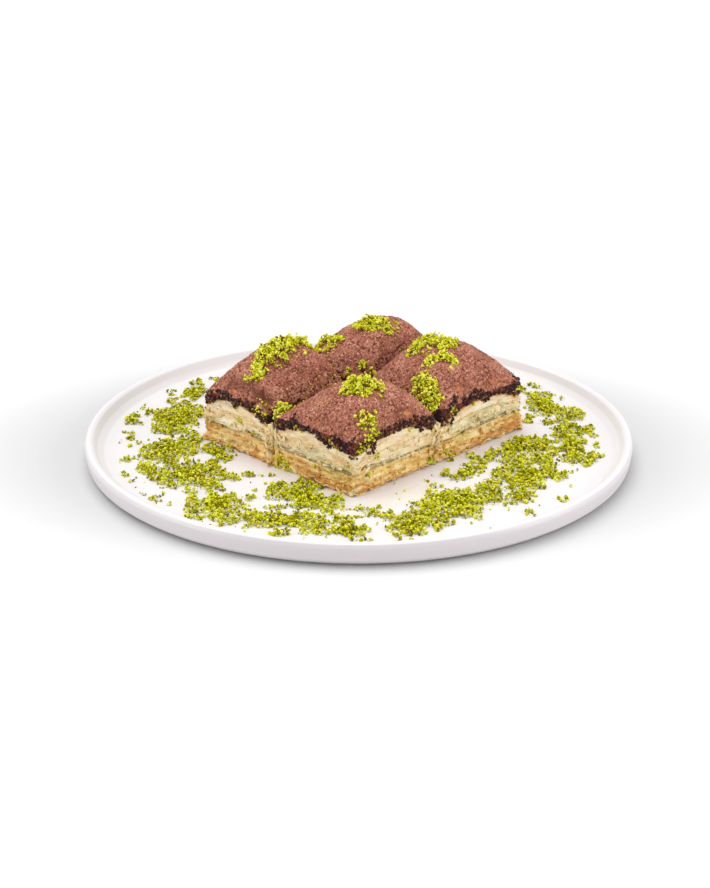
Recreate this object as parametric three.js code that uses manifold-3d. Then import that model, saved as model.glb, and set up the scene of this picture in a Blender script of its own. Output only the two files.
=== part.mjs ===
// A round white plate with four square pieces of cold milk baklava.
// Each piece has soaked lower pastry, a line of pistachio filling, pale upper pastry and a puffed
// cocoa crust with chocolate crumbs round its foot. Ground pistachio lies on the crusts and in
// drifts on the plate. Millimetres, +Z up, origin at the middle of the plate's foot.

import * as THREE from 'three';
import { mergeVertices } from 'three/addons/utils/BufferGeometryUtils.js';
import Module from 'manifold-3d';

const wasm = await Module();
wasm.setup();

// Driving dimensions of the plate
const PLATE_RADIUS = 125;
const PLATE_HEIGHT = 11;
const PLATE_FLOOR = 4.4;
const PLATE_SEGMENTS = 48;
const FOOT_INNER = 99.5;
const FOOT_OUTER = 110;

// The block of four pieces, cut once each way: u runs to the back right, v to the back left
const BLOCK_TURN = THREE.MathUtils.degToRad(45.4);
const U_FRONT = -49.8;
const U_CUT = 5.5;
const U_BACK = 65.8;
const V_FRONT = -45.8;
const V_CUT = 7.3;
const V_BACK = 54.4;
const CUT_GAP = 1.4;

// Heights above the plate's floor, and the clearance between pieces that touch
const CLEARANCE = 0.3;
const LOWER_HEIGHT = 8.9;
const FILLING_THICKNESS = 1.5;
const UPPER_CORNER = 16.8;
const UPPER_ARCH = 5.7;
const CRUST_FOOT = 24.2;
const CRUST_FOOT_ARCH = 0.6;

// Outline of a piece
const OUTLINE_POINTS = 28;
const PASTRY_CORNER = 3.6;
const CRUST_CORNER = 6;
const OUTLINE_WAVE = 0.7;
const LAYER_WAVE = 0.6;
const CRUST_LUMP = 0.45;

// Flaky sheets: share of the layer's height, and how far the sheet lies behind the outline
const LOWER_SHEETS = [[0, 0.8], [0.14, 0], [0.36, 1.2], [0.6, 0.2], [0.78, 1.1], [1, 0.8]];
const UPPER_SHEETS = [[0, 1.6], [0.2, 0.7], [0.42, 1.5], [0.62, 0.6], [0.84, 1.2], [1, 1.9]];
const FILLING_SHEETS = [[0, 1.3], [1, 1.4]];
const CRUST_RINGS = [0.93, 0.8, 0.62, 0.4, 0.18];

// Chocolate crumbs fused to the foot of each crust, and ground pistachio fused in clumps
const CRUMBS_A_SIDE = 6;
const CRUMB_SIZES = [1.3, 1.9];
const CRUMB_END_GAP = 6;
const GRAIN_SIZES = [1.4, 2.1];
const GRAIN_FLATNESS = 0.72;
const GRAIN_SQUEEZE = [0.75, 1];
const SMALLEST_SCRAP = 2;

const COLOURS = {
  porcelain: { color: 0xf4f1f2, roughness: 0.25, metalness: 0 },
  lowerPastry: { color: 0xd9b878, roughness: 0.45, metalness: 0 },
  upperPastry: { color: 0xe9dfbe, roughness: 0.4, metalness: 0 },
  filling: { color: 0x97994f, roughness: 0.6, metalness: 0 },
  cocoa: { color: 0x8a5748, roughness: 0.9, metalness: 0 },
  pistachio: { color: 0x9fb52e, roughness: 0.75, metalness: 0 },
};

// The four pieces: where each is cut, its own small turn and seed, and which of its sides are on
// the outside of the block. The crown is how high the crust puffs up above its foot, a higher
// power makes its top broader, the lean is how far its top lies off the middle, and the droop is
// how far its corners hang. Towards a cut each crust stays high for longer and then falls steeply.
const CUT_SIDE_POWER = 3;
const FRONT_U = [U_FRONT, U_CUT];
const BACK_U = [U_CUT, U_BACK];
const FRONT_V = [V_FRONT, V_CUT];
const BACK_V = [V_CUT, V_BACK];
const PIECES = [
  {
    name: 'front', u: FRONT_U, v: FRONT_V, turn: 0.5, out: [-1, -1],
    seed: 11, crown: 16, power: 2.3, lean: [-0.2, -0.4], droop: 1.5,
  },
  {
    name: 'right', u: BACK_U, v: FRONT_V, turn: -0.5, out: [1, -1],
    seed: 23, crown: 17.4, power: 2.2, lean: [0.05, -0.05], droop: 0.8,
  },
  {
    name: 'left', u: FRONT_U, v: BACK_V, turn: -0.4, out: [-1, 1],
    seed: 37, crown: 18.4, power: 1.9, lean: [0.13, 0.13], droop: 4.2,
  },
  {
    name: 'back', u: BACK_U, v: BACK_V, turn: 0.6, out: [1, 1],
    seed: 53, crown: 16.3, power: 2.7, lean: [0.25, -0.2], droop: 1.6,
  },
];

// Heaps of ground pistachio on the crusts: middle, half length, half width, turn, height, grains
const MOUNDS = [
  { name: 'front_top', at: [1.5, -40], size: [9.5, 8], turn: 15, height: 4.2, grains: 6 },
  { name: 'front_low', at: [4.5, -54.8], size: [5.2, 3.1], turn: 20, height: 2.2, grains: 4 },
  { name: 'left_top', at: [-35, 5.5], size: [22, 8.5], turn: 50, height: 3.4, grains: 9 },
  { name: 'left_back', at: [-15.5, 40], size: [8.5, 5], turn: 130, height: 2.4, grains: 5 },
  { name: 'right_top', at: [33.5, 11], size: [13, 8.5], turn: 10, height: 3.8, grains: 7 },
  { name: 'right_mid', at: [37, -3.5], size: [7, 4], turn: 0, height: 2, grains: 4 },
  { name: 'right_gap', at: [30, -16.5], size: [11.5, 5], turn: 122, height: 2.6, grains: 6 },
  { name: 'back_top', at: [8, 43.5], size: [10.5, 7.5], turn: -5, height: 3, grains: 5 },
  { name: 'centre', at: [0.5, 18.5], size: [6.5, 2.8], turn: 5, height: 1.5, grains: 3 },
  { name: 'left_front', at: [-33.5, -27.5], size: [5.5, 3.8], turn: 130, height: 2.2, grains: 4 },
];

// Drifts of ground pistachio on the plate's floor
const DRIFTS = [
  { name: 'left_back', at: [-80.5, 62], size: [13.5, 6.5], turn: 75, grains: 5 },
  { name: 'left', at: [-85.5, 24], size: [18, 10.5], turn: 82, grains: 5 },
  { name: 'left_side', at: [-87, -10.5], size: [11, 9], turn: 70, grains: 5 },
  { name: 'front_left', at: [-76, -41], size: [17, 12], turn: -58, grains: 7 },
  { name: 'front_left_low', at: [-61, -71], size: [13.5, 10], turn: -45, grains: 6 },
  { name: 'left_wall', at: [-66.5, -15.5], size: [10.5, 5], turn: -45, grains: 4 },
  { name: 'front_wall', at: [-23, -64.5], size: [20, 8], turn: -42, grains: 7 },
  { name: 'front', at: [-31, -88.5], size: [15, 9.5], turn: -8, grains: 6 },
  { name: 'front_low', at: [-4, -100.5], size: [9.5, 4.2], turn: 0, grains: 3 },
  { name: 'front_right', at: [42, -69], size: [18.5, 10], turn: 33, grains: 6 },
  { name: 'front_right_low', at: [22, -93.5], size: [11.5, 7], turn: 32, grains: 4 },
  { name: 'right', at: [75, -42], size: [15.5, 10], turn: 45, grains: 7 },
  { name: 'right_wall', at: [73, -10.5], size: [15, 7.5], turn: 47, grains: 5 },
  { name: 'right_side', at: [98.5, -9], size: [18, 6], turn: 83, grains: 5 },
  { name: 'right_back', at: [90, 40.5], size: [17.5, 8], turn: 101, grains: 6 },
];

const DRIFT_POINTS = 14;
const DRIFT_EDGE = 0.8;
const DRIFT_MIDDLE = 1.7;
const HEAP_WAVE = 0.16;
const DRIFT_RAGGED = 0.12;
const MOUND_POINTS = 9;
const MOUND_ROOT = 1.5;

// Small helpers

function seededRandom(seed) {
  let state = seed >>> 0;
  return () => {
    state = (state + 0x6d2b79f5) >>> 0;
    let t = Math.imul(state ^ (state >>> 15), 1 | state);
    t = (t + Math.imul(t ^ (t >>> 7), 61 | t)) ^ t;
    return ((t ^ (t >>> 14)) >>> 0) / 4294967296;
  };
}

function between(random, [low, high]) {
  return low + (high - low) * random();
}

// A smooth uneven line between -1 and 1 that closes on itself over a full turn
function wave(angle, seed) {
  const slow = Math.sin(2 * angle + seed);
  const middle = Math.sin(5 * angle + 2.3 * seed);
  const quick = Math.sin(9 * angle + 4.1 * seed);
  return (slow + 0.8 * middle + 0.6 * quick) / 2.4;
}

function material(finish) {
  return new THREE.MeshStandardMaterial(COLOURS[finish]);
}

// A closed solid through rings of equal length from the bottom up, each end closed to one point
function lofted(rings, bottom, top) {
  const count = rings[0].length;
  const points = rings.flat().concat([bottom, top]);
  const numbers = points.flatMap((point) => point.toArray());
  const bottomIndex = rings.length * count;
  const faces = [];
  for (let i = 0; i < count; i += 1) {
    const j = (i + 1) % count;
    faces.push(bottomIndex, j, i);
    for (let ring = 0; ring < rings.length - 1; ring += 1) {
      const low = ring * count;
      const high = low + count;
      faces.push(low + i, low + j, high + j);
      faces.push(low + i, high + j, high + i);
    }
    const last = (rings.length - 1) * count;
    faces.push(last + i, last + j, bottomIndex + 1);
  }
  const geometry = new THREE.BufferGeometry();
  geometry.setAttribute('position', new THREE.Float32BufferAttribute(numbers, 3));
  geometry.setIndex(faces);
  return geometry;
}

function toSolid(geometry) {
  const bare = geometry.clone();
  bare.deleteAttribute('normal');
  bare.deleteAttribute('uv');
  const merged = mergeVertices(bare, 1e-4);
  return new wasm.Manifold(new wasm.Mesh({
    numProp: 3,
    vertProperties: new Float32Array(merged.attributes.position.array),
    triVerts: new Uint32Array(merged.index.array),
  }));
}

function toGeometry(solid) {
  const mesh = solid.getMesh();
  const geometry = new THREE.BufferGeometry();
  geometry.setAttribute('position', new THREE.BufferAttribute(mesh.vertProperties, 3));
  geometry.setIndex(new THREE.BufferAttribute(mesh.triVerts, 1));
  geometry.computeVertexNormals();
  return geometry;
}

// The largest piece of a solid, so that no loose scrap of a cut stays
function largest(solid) {
  const bodies = solid.decompose().filter((body) => body.volume() > SMALLEST_SCRAP);
  return bodies.sort((a, b) => b.volume() - a.volume())[0];
}

// A chopped grain: an uneven octahedron, turned at random
function grain(x, y, z, radius, flatness, random) {
  const geometry = new THREE.OctahedronGeometry(1.15 * radius, 0);
  geometry.scale(1, between(random, GRAIN_SQUEEZE), between(random, GRAIN_SQUEEZE));
  geometry.rotateX(random() * Math.PI);
  geometry.rotateZ(random() * Math.PI);
  geometry.scale(1, 1, flatness);
  geometry.translate(x, y, z);
  return toSolid(geometry);
}

// Plate

function makePlate() {
  const rim = PLATE_RADIUS;
  const height = PLATE_HEIGHT;
  const profile = [
    [0, 1.2],
    [FOOT_INNER - 1.5, 1.2],
    [FOOT_INNER, 0],
    [FOOT_OUTER, 0],
    [FOOT_OUTER + 2, 0.9],
    [rim - 3.2, 0.9],
    [rim - 0.8, 3],
    [rim, height - 2.4],
    [rim - 0.7, height - 0.6],
    [rim - 2.4, height],
    [rim - 4.1, height - 0.8],
    [rim - 5.7, height - 3.8],
    [rim - 8.6, PLATE_FLOOR + 0.6],
    [rim - 13.5, PLATE_FLOOR],
    [0, PLATE_FLOOR],
  ];
  const points = profile.map(([r, z]) => new THREE.Vector2(r, z));
  const geometry = new THREE.LatheGeometry(points, PLATE_SEGMENTS);
  geometry.rotateX(Math.PI / 2);
  return new THREE.Mesh(geometry, material('porcelain'));
}

// Outline and layers of a piece

// Points evenly round a rounded rectangle, each with its outward direction, its angle and its
// place as a share of the half sizes
function roundedOutline(halfU, halfV, corner) {
  const shape = new THREE.Shape();
  shape.moveTo(halfU, 0);
  shape.lineTo(halfU, halfV - corner);
  shape.absarc(halfU - corner, halfV - corner, corner, 0, Math.PI / 2);
  shape.lineTo(corner - halfU, halfV);
  shape.absarc(corner - halfU, halfV - corner, corner, Math.PI / 2, Math.PI);
  shape.lineTo(-halfU, corner - halfV);
  shape.absarc(corner - halfU, corner - halfV, corner, Math.PI, 1.5 * Math.PI);
  shape.lineTo(halfU - corner, -halfV);
  shape.absarc(halfU - corner, corner - halfV, corner, -Math.PI / 2, 0);
  shape.lineTo(halfU, 0);
  const points = shape.getSpacedPoints(OUTLINE_POINTS).slice(0, OUTLINE_POINTS);
  return points.map((point, i) => {
    const before = points[(i + OUTLINE_POINTS - 1) % OUTLINE_POINTS];
    const after = points[(i + 1) % OUTLINE_POINTS];
    const along = after.clone().sub(before).normalize();
    return {
      point,
      outward: new THREE.Vector2(along.y, -along.x),
      angle: Math.atan2(point.y, point.x),
      share: new THREE.Vector2(point.x / halfU, point.y / halfV),
    };
  });
}

// Height that is 1 at the middle of each side and 0 at the corners
function sideArch(share) {
  const across = Math.min(Math.abs(share.x), Math.abs(share.y));
  return 1 - across * across;
}

function ringAt(outline, inset, seed, height) {
  return outline.map((spot) => {
    const dip = inset + OUTLINE_WAVE * 0.5 * (1 + wave(spot.angle, seed));
    const x = spot.point.x - spot.outward.x * dip;
    const y = spot.point.y - spot.outward.y * dip;
    return new THREE.Vector3(x, y, height(spot));
  });
}

function layerLine(spot, piece) {
  return LOWER_HEIGHT + LAYER_WAVE * wave(spot.angle, piece.seed);
}

function upperEdge(spot, piece) {
  return UPPER_CORNER + UPPER_ARCH * sideArch(spot.share) + 0.4 * wave(spot.angle, piece.seed + 3);
}

function crustFoot(spot, piece) {
  const corner = (spot.share.x * spot.share.y) ** 4;
  return CRUST_FOOT + CRUST_FOOT_ARCH * sideArch(spot.share) - piece.droop * corner;
}

// Height of the puffed crust above the floor at a place given as a share of the half sizes
function crustHeight(piece, x, y) {
  const leanX = x - piece.lean[0] * (1 - x * x);
  const leanY = y - piece.lean[1] * (1 - y * y);
  const powerX = leanX * piece.out[0] < 0 ? CUT_SIDE_POWER : piece.power;
  const powerY = leanY * piece.out[1] < 0 ? CUT_SIDE_POWER : piece.power;
  const puff = (1 - Math.abs(leanX) ** powerX) * (1 - Math.abs(leanY) ** powerY);
  const foot = CRUST_FOOT + CRUST_FOOT_ARCH * (2 - x * x - y * y) - piece.droop * (x * y) ** 4;
  const lumps = Math.sin(5 * x + piece.seed) * Math.sin(4 * y + 2 * piece.seed);
  return foot + piece.crown * puff + CRUST_LUMP * lumps * (1 - x * x) * (1 - y * y);
}

// Rings of a pastry layer, its sheets standing in and out between two heights
function sheetRings(outline, sheets, seed, low, high) {
  return sheets.map(([share, inset], i) => {
    return ringAt(outline, inset, seed + i, (spot) => low(spot) + share * (high(spot) - low(spot)));
  });
}

function makeLowerPastry(piece, outline) {
  const floor = () => CLEARANCE;
  const rings = sheetRings(outline, LOWER_SHEETS, piece.seed, floor, (spot) => layerLine(spot, piece));
  const bottom = new THREE.Vector3(0, 0, CLEARANCE);
  const top = new THREE.Vector3(0, 0, LOWER_HEIGHT);
  return new THREE.Mesh(lofted(rings, bottom, top), material('lowerPastry'));
}

function makeFilling(piece, outline) {
  const low = (spot) => layerLine(spot, piece) + CLEARANCE;
  const high = (spot) => low(spot) + FILLING_THICKNESS;
  const rings = sheetRings(outline, FILLING_SHEETS, piece.seed + 7, low, high);
  const bottom = new THREE.Vector3(0, 0, LOWER_HEIGHT + CLEARANCE);
  const top = new THREE.Vector3(0, 0, LOWER_HEIGHT + CLEARANCE + FILLING_THICKNESS);
  return new THREE.Mesh(lofted(rings, bottom, top), material('filling'));
}

function makeUpperPastry(piece, outline) {
  const rise = FILLING_THICKNESS + 2 * CLEARANCE;
  const low = (spot) => layerLine(spot, piece) + rise;
  const high = (spot) => upperEdge(spot, piece);
  const rings = sheetRings(outline, UPPER_SHEETS, piece.seed + 13, low, high);
  const bottom = new THREE.Vector3(0, 0, LOWER_HEIGHT + rise);
  const top = new THREE.Vector3(0, 0, UPPER_CORNER + UPPER_ARCH);
  return new THREE.Mesh(lofted(rings, bottom, top), material('upperPastry'));
}

// Cocoa crust

function crustShell(piece, outline) {
  const rings = [
    ringAt(outline, 1.1, piece.seed + 19, (spot) => upperEdge(spot, piece) + CLEARANCE),
    ringAt(outline, 0.4, piece.seed + 20, (spot) => upperEdge(spot, piece) + 1.4),
    ringAt(outline, 0.6, piece.seed + 20, (spot) => crustFoot(spot, piece)),
  ];
  for (const size of CRUST_RINGS) {
    rings.push(outline.map((spot) => {
      const x = spot.share.x * size;
      const y = spot.share.y * size;
      const z = crustHeight(piece, x, y);
      return new THREE.Vector3(spot.point.x * size, spot.point.y * size, z);
    }));
  }
  const bottom = new THREE.Vector3(0, 0, UPPER_CORNER + UPPER_ARCH + CLEARANCE);
  const top = new THREE.Vector3(0, 0, crustHeight(piece, 0, 0));
  return lofted(rings, bottom, top);
}

// One crumb on an outer side of the crust, at a share of that side from -1 to 1
function crumbOnSide(piece, halfU, halfV, side, share, random) {
  const radius = between(random, CRUMB_SIZES);
  const alongU = side === 'v';
  const x = alongU ? share * (halfU - 2) : piece.out[0] * (halfU - 0.9);
  const y = alongU ? piece.out[1] * (halfV - 0.9) : share * (halfV - 2);
  const spot = { share: new THREE.Vector2(x / halfU, y / halfV), angle: Math.atan2(y, x) };
  const low = upperEdge(spot, piece) + CLEARANCE + 1.1 * radius;
  const high = Math.max(low, crustFoot(spot, piece));
  return grain(x, y, between(random, [low, high]), radius, 1, random);
}

function makeCrust(piece, outline, halfU, halfV) {
  const random = seededRandom(piece.seed);
  let solid = toSolid(crustShell(piece, outline));
  for (const side of ['u', 'v']) {
    const half = side === 'u' ? halfV : halfU;
    const outward = side === 'u' ? piece.out[1] : piece.out[0];
    const innerEnd = -(1 - CRUMB_END_GAP / half) * outward;
    const outerEnd = 0.93 * outward;
    for (let i = 0; i < CRUMBS_A_SIDE; i += 1) {
      const share = innerEnd + (outerEnd - innerEnd) * (i + 0.3 + 0.4 * random()) / CRUMBS_A_SIDE;
      solid = solid.add(crumbOnSide(piece, halfU, halfV, side, share, random));
    }
  }
  return new THREE.Mesh(toGeometry(largest(solid)), material('cocoa'));
}

function makePiece(piece) {
  const group = new THREE.Group();
  const halfU = (piece.u[1] - piece.u[0] - CUT_GAP) / 2;
  const halfV = (piece.v[1] - piece.v[0] - CUT_GAP) / 2;
  const outline = roundedOutline(halfU, halfV, PASTRY_CORNER);
  const crustOutline = roundedOutline(halfU, halfV, CRUST_CORNER);
  const layers = {
    lower_pastry: makeLowerPastry(piece, outline),
    pistachio_filling: makeFilling(piece, outline),
    upper_pastry: makeUpperPastry(piece, outline),
    cocoa_top: makeCrust(piece, crustOutline, halfU, halfV),
  };
  for (const [layer, mesh] of Object.entries(layers)) {
    mesh.name = `${layer}_${piece.name}`;
    group.add(mesh);
  }
  group.position.set((piece.u[0] + piece.u[1]) / 2, (piece.v[0] + piece.v[1]) / 2, 0);
  group.rotation.z = THREE.MathUtils.degToRad(piece.turn);
  return group;
}

// Ground pistachio

// Height of the crusts at a place on the plate, in the plate's own directions
function crustHeightAt(x, y) {
  const spot = new THREE.Vector2(x, y).rotateAround(new THREE.Vector2(0, 0), -BLOCK_TURN);
  for (const piece of PIECES) {
    const shareU = (2 * spot.x - piece.u[0] - piece.u[1]) / (piece.u[1] - piece.u[0]);
    const shareV = (2 * spot.y - piece.v[0] - piece.v[1]) / (piece.v[1] - piece.v[0]);
    if (Math.abs(shareU) <= 1 && Math.abs(shareV) <= 1) {
      return crustHeight(piece, shareU, shareV);
    }
  }
  return CRUST_FOOT;
}

function heapSpot(heap, angle, share) {
  const reach = share * (1 + HEAP_WAVE * wave(angle, heap.at[0]));
  const along = heap.size[0] * reach * Math.cos(angle);
  const across = heap.size[1] * reach * Math.sin(angle);
  const spot = new THREE.Vector2(along, across);
  spot.rotateAround(new THREE.Vector2(0, 0), THREE.MathUtils.degToRad(heap.turn));
  return spot.add(new THREE.Vector2(heap.at[0], heap.at[1]));
}

function heapRing(heap, count, share, height) {
  return Array.from({ length: count }, (_, i) => {
    const spot = heapSpot(heap, 2 * Math.PI * i / count, share);
    return new THREE.Vector3(spot.x, spot.y, height(spot));
  });
}

// Every second point of a ring drawn in towards the middle, as loose grains leave an edge
function makeRagged(ring, heap) {
  const middle = new THREE.Vector3(heap.at[0], heap.at[1], ring[0].z);
  ring.forEach((point, i) => {
    point.lerp(middle, i % 2 === 0 ? 0 : DRIFT_RAGGED * (1 + wave(i, heap.at[1])));
  });
}

// Grains spread evenly over a heap by the sunflower rule, with a little seeded unevenness
function heapGrains(heap, reach, height, flatness) {
  const random = seededRandom(Math.round(1000 + 7 * heap.at[0] + 13 * heap.at[1]));
  const grains = [];
  for (let i = 0; i < heap.grains; i += 1) {
    const share = reach * Math.sqrt((i + 0.6) / heap.grains);
    const spot = heapSpot(heap, i * 2.4 + 0.5 * random(), share);
    const radius = between(random, GRAIN_SIZES);
    grains.push(grain(spot.x, spot.y, height(spot, share, radius), radius, flatness, random));
  }
  return grains;
}

function makeMound(heap, crusts) {
  const onCrust = (rise) => (spot) => crustHeightAt(spot.x, spot.y) + rise;
  const rings = [
    heapRing(heap, MOUND_POINTS, 0.85, onCrust(-MOUND_ROOT)),
    heapRing(heap, MOUND_POINTS, 0.92, onCrust(0.25 * heap.height)),
    heapRing(heap, MOUND_POINTS, 0.55, onCrust(0.75 * heap.height)),
  ];
  const middle = crustHeightAt(heap.at[0], heap.at[1]);
  const bottom = new THREE.Vector3(heap.at[0], heap.at[1], middle - MOUND_ROOT);
  const top = new THREE.Vector3(heap.at[0], heap.at[1], middle + 0.85 * heap.height);
  const onTop = (spot, share, radius) => {
    return crustHeightAt(spot.x, spot.y) + heap.height * (1 - 0.8 * share * share) - 0.35 * radius;
  };
  let solid = toSolid(lofted(rings, bottom, top));
  for (const clump of heapGrains(heap, 0.85, onTop, 1)) {
    solid = solid.add(clump);
  }
  for (const crust of crusts) {
    solid = solid.subtract(crust);
  }
  return new THREE.Mesh(toGeometry(largest(solid)), material('pistachio'));
}

function makeDrift(heap) {
  const level = (rise) => () => CLEARANCE + rise;
  const rings = [
    heapRing(heap, DRIFT_POINTS, 0.97, level(0)),
    heapRing(heap, DRIFT_POINTS, 1, level(DRIFT_EDGE)),
  ];
  rings.forEach((ring) => makeRagged(ring, heap));
  const bottom = new THREE.Vector3(heap.at[0], heap.at[1], CLEARANCE);
  const top = new THREE.Vector3(heap.at[0], heap.at[1], CLEARANCE + DRIFT_MIDDLE);
  const onFloor = (spot, share, radius) => CLEARANCE + GRAIN_FLATNESS * radius;
  let solid = toSolid(lofted(rings, bottom, top));
  for (const clump of heapGrains(heap, 0.9, onFloor, GRAIN_FLATNESS)) {
    solid = solid.add(clump);
  }
  return new THREE.Mesh(toGeometry(largest(solid)), material('pistachio'));
}

// The whole object

const plateOfBaklava = new THREE.Group();

const plate = makePlate();
plate.name = 'plate';
plateOfBaklava.add(plate);

const block = new THREE.Group();
block.rotation.z = BLOCK_TURN;
for (const piece of PIECES) {
  block.add(makePiece(piece));
}

// The crusts as they lie on the floor, raised by the clearance, cut the mounds on them
block.updateMatrixWorld(true);
const crustsToCut = PIECES.map((piece) => {
  const crust = block.getObjectByName(`cocoa_top_${piece.name}`);
  const placed = crust.geometry.clone().applyMatrix4(crust.matrixWorld);
  return toSolid(placed.translate(0, 0, CLEARANCE));
});

const onFloor = new THREE.Group();
onFloor.position.z = PLATE_FLOOR;
onFloor.add(block);
plateOfBaklava.add(onFloor);

for (const heap of MOUNDS) {
  const mound = makeMound(heap, crustsToCut);
  mound.name = `pistachio_mound_${heap.name}`;
  onFloor.add(mound);
}

for (const heap of DRIFTS) {
  const drift = makeDrift(heap);
  drift.name = `pistachio_drift_${heap.name}`;
  onFloor.add(drift);
}

export default plateOfBaklava;
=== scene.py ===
# %% [markdown]
# A plate of cold milk baklava, dressed for the camera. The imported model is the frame: four pieces
# of layered pastry, their cocoa crusts, heaps of ground pistachio and a round plate, in metres,
# with +Z up. Every piece made below is placed by that frame, so it is loaded before anything else.

# %% Load the frame
import math

import bmesh
import bpy
import numpy as np
from mathutils import Matrix, Vector
from mathutils.bvhtree import BVHTree


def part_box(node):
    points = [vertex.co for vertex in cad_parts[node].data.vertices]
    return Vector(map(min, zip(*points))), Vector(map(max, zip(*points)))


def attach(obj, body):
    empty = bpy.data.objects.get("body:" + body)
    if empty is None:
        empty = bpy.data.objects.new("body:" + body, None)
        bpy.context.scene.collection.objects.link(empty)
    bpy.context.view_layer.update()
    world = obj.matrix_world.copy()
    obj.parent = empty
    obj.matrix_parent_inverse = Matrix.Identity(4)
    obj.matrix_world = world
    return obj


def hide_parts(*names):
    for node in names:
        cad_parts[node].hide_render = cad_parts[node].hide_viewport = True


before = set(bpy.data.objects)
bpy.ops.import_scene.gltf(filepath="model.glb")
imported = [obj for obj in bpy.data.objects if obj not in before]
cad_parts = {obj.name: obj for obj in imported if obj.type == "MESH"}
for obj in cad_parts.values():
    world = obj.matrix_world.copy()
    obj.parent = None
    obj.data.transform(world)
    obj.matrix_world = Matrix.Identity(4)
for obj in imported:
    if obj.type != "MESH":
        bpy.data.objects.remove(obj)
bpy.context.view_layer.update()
scene = bpy.context.scene

# %% [markdown]
# The camera stands about 74 cm in front of the middle of the plate and 31 cm above the table, and
# looks down at 22.6 degrees. A long lens keeps the perspective calm. The small shift moves the
# picture by a few pixels, so that the plate stands where it does in the photo.

# %% Camera
CAMERA_DISTANCE = 0.8
CAMERA_ELEVATION = math.radians(22.57)
LENS_PIXELS = 1730
IMAGE_HEIGHT_PIXELS = 888
SHIFT_PIXELS = (-3.7, 4.3)
SENSOR = 36

camera_data = bpy.data.cameras.new("camera")
camera_data.sensor_fit = "VERTICAL"
camera_data.sensor_height = SENSOR
camera_data.lens = LENS_PIXELS * SENSOR / IMAGE_HEIGHT_PIXELS
camera_data.shift_x = SHIFT_PIXELS[0] / IMAGE_HEIGHT_PIXELS
camera_data.shift_y = SHIFT_PIXELS[1] / IMAGE_HEIGHT_PIXELS
camera = bpy.data.objects.new("camera", camera_data)
camera.location = (
    0,
    -CAMERA_DISTANCE * math.cos(CAMERA_ELEVATION),
    CAMERA_DISTANCE * math.sin(CAMERA_ELEVATION),
)
camera.rotation_euler = (math.pi / 2 - CAMERA_ELEVATION, 0, 0)
scene.collection.objects.link(camera)
scene.camera = camera
print("camera lens in mm:", round(camera_data.lens, 1))

# %% [markdown]
# Food on white is lit from all sides at once. A white world gives the even light, and a sun with
# a very wide disc lights the whole table from above. Two low softboxes, left and right, light the
# cut sides of the pastry, and a weak one in front opens up what faces the camera. Each leaves a
# soft shadow beside the plate, on the side away from it. The Standard view keeps white white.

# %% Light
WORLD_STRENGTH = 0.45
SUN_STRENGTH = 2.2
SUN_SPREAD = math.radians(60)
SUN_FROM = (-0.15, 0.25, 1.0)
SOFTBOXES = {
    # place and watts
    "softbox_left": ((-1.2, -0.3, 0.45), 5.5),
    "softbox_right": ((1.2, -0.3, 0.45), 7.5),
    "softbox_front": ((0, -1.2, 0.6), 1.8),
}
SOFTBOX_SIZE = 0.9


def new_light(name, kind, at):
    """A lamp that looks at the middle of the plate"""
    data = bpy.data.lights.new(name, kind)
    lamp = bpy.data.objects.new(name, data)
    lamp.location = at
    lamp.rotation_euler = (-Vector(at)).to_track_quat("-Z", "Y").to_euler()
    scene.collection.objects.link(lamp)
    return data


scene.view_settings.view_transform = "Standard"
world = bpy.data.worlds.new("studio")
world.use_nodes = True
world.node_tree.nodes["Background"].inputs["Color"].default_value = (1, 1, 1, 1)
world.node_tree.nodes["Background"].inputs["Strength"].default_value = WORLD_STRENGTH
scene.world = world

sun = new_light("window_sun", "SUN", SUN_FROM)
sun.energy = SUN_STRENGTH
sun.angle = SUN_SPREAD
for name, (at, watts) in SOFTBOXES.items():
    softbox = new_light(name, "AREA", at)
    softbox.size = SOFTBOX_SIZE
    softbox.energy = watts
print("lights: a wide sun and", len(SOFTBOXES), "softboxes")

# %% [markdown]
# Colours are given as the numbers that a paint program shows, from 0 to 255, while shaders count light, so
# they pass through a curve first. What comes out of a node is wrapped as a signal. Signals can be added and
# multiplied like plain numbers, and each such sum makes a math node, so that a material reads like a formula.

# %% Signals and nodes
def paint(red, green, blue):
    """A colour given as 0 to 255 turned into the linear colour that a shader takes"""
    shares = [value / 255 for value in (red, green, blue)]
    linear = [s / 12.92 if s <= 0.04045 else ((s + 0.055) / 1.055) ** 2.4 for s in shares]
    return (*linear, 1)


class Signal:
    """A number, a colour or a place that runs through a node tree"""

    def __init__(self, socket):
        self.socket = socket
        self.tree = socket.id_data

    def __add__(self, other):
        return add_node(self.tree, "Math", {0: self, 1: other}, operation="ADD")

    def __mul__(self, other):
        return add_node(self.tree, "Math", {0: self, 1: other}, operation="MULTIPLY")

    def __sub__(self, other):
        return add_node(self.tree, "Math", {0: self, 1: other}, operation="SUBTRACT")

    def __rsub__(self, other):
        return add_node(self.tree, "Math", {0: other, 1: self}, operation="SUBTRACT")

    def clamped(self):
        """The same sum, kept between 0 and 1"""
        self.socket.node.use_clamp = True
        return self


def plug(socket, value):
    """Link a signal to an input, or set the input to a plain value"""
    if isinstance(value, Signal):
        socket.id_data.links.new(value.socket, socket)
    else:
        socket.default_value = value


def add_node(tree, kind, inputs, output=0, **options):
    """One shader node, with its inputs by name or number; returns the signal of one output"""
    node = tree.nodes.new("ShaderNode" + kind)
    for name, value in options.items():
        setattr(node, name, value)
    for key, value in inputs.items():
        plug(node.inputs[key], value)
    return Signal(node.outputs[output])


print("node helpers ready")

# %% [markdown]
# With signals the usual steps of a material take one line each: to mix two colours, to look a
# colour up along a ramp, to make noise, or to turn a height into a bump. Numbers that were painted
# on a mesh's points are read in the same way.

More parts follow.
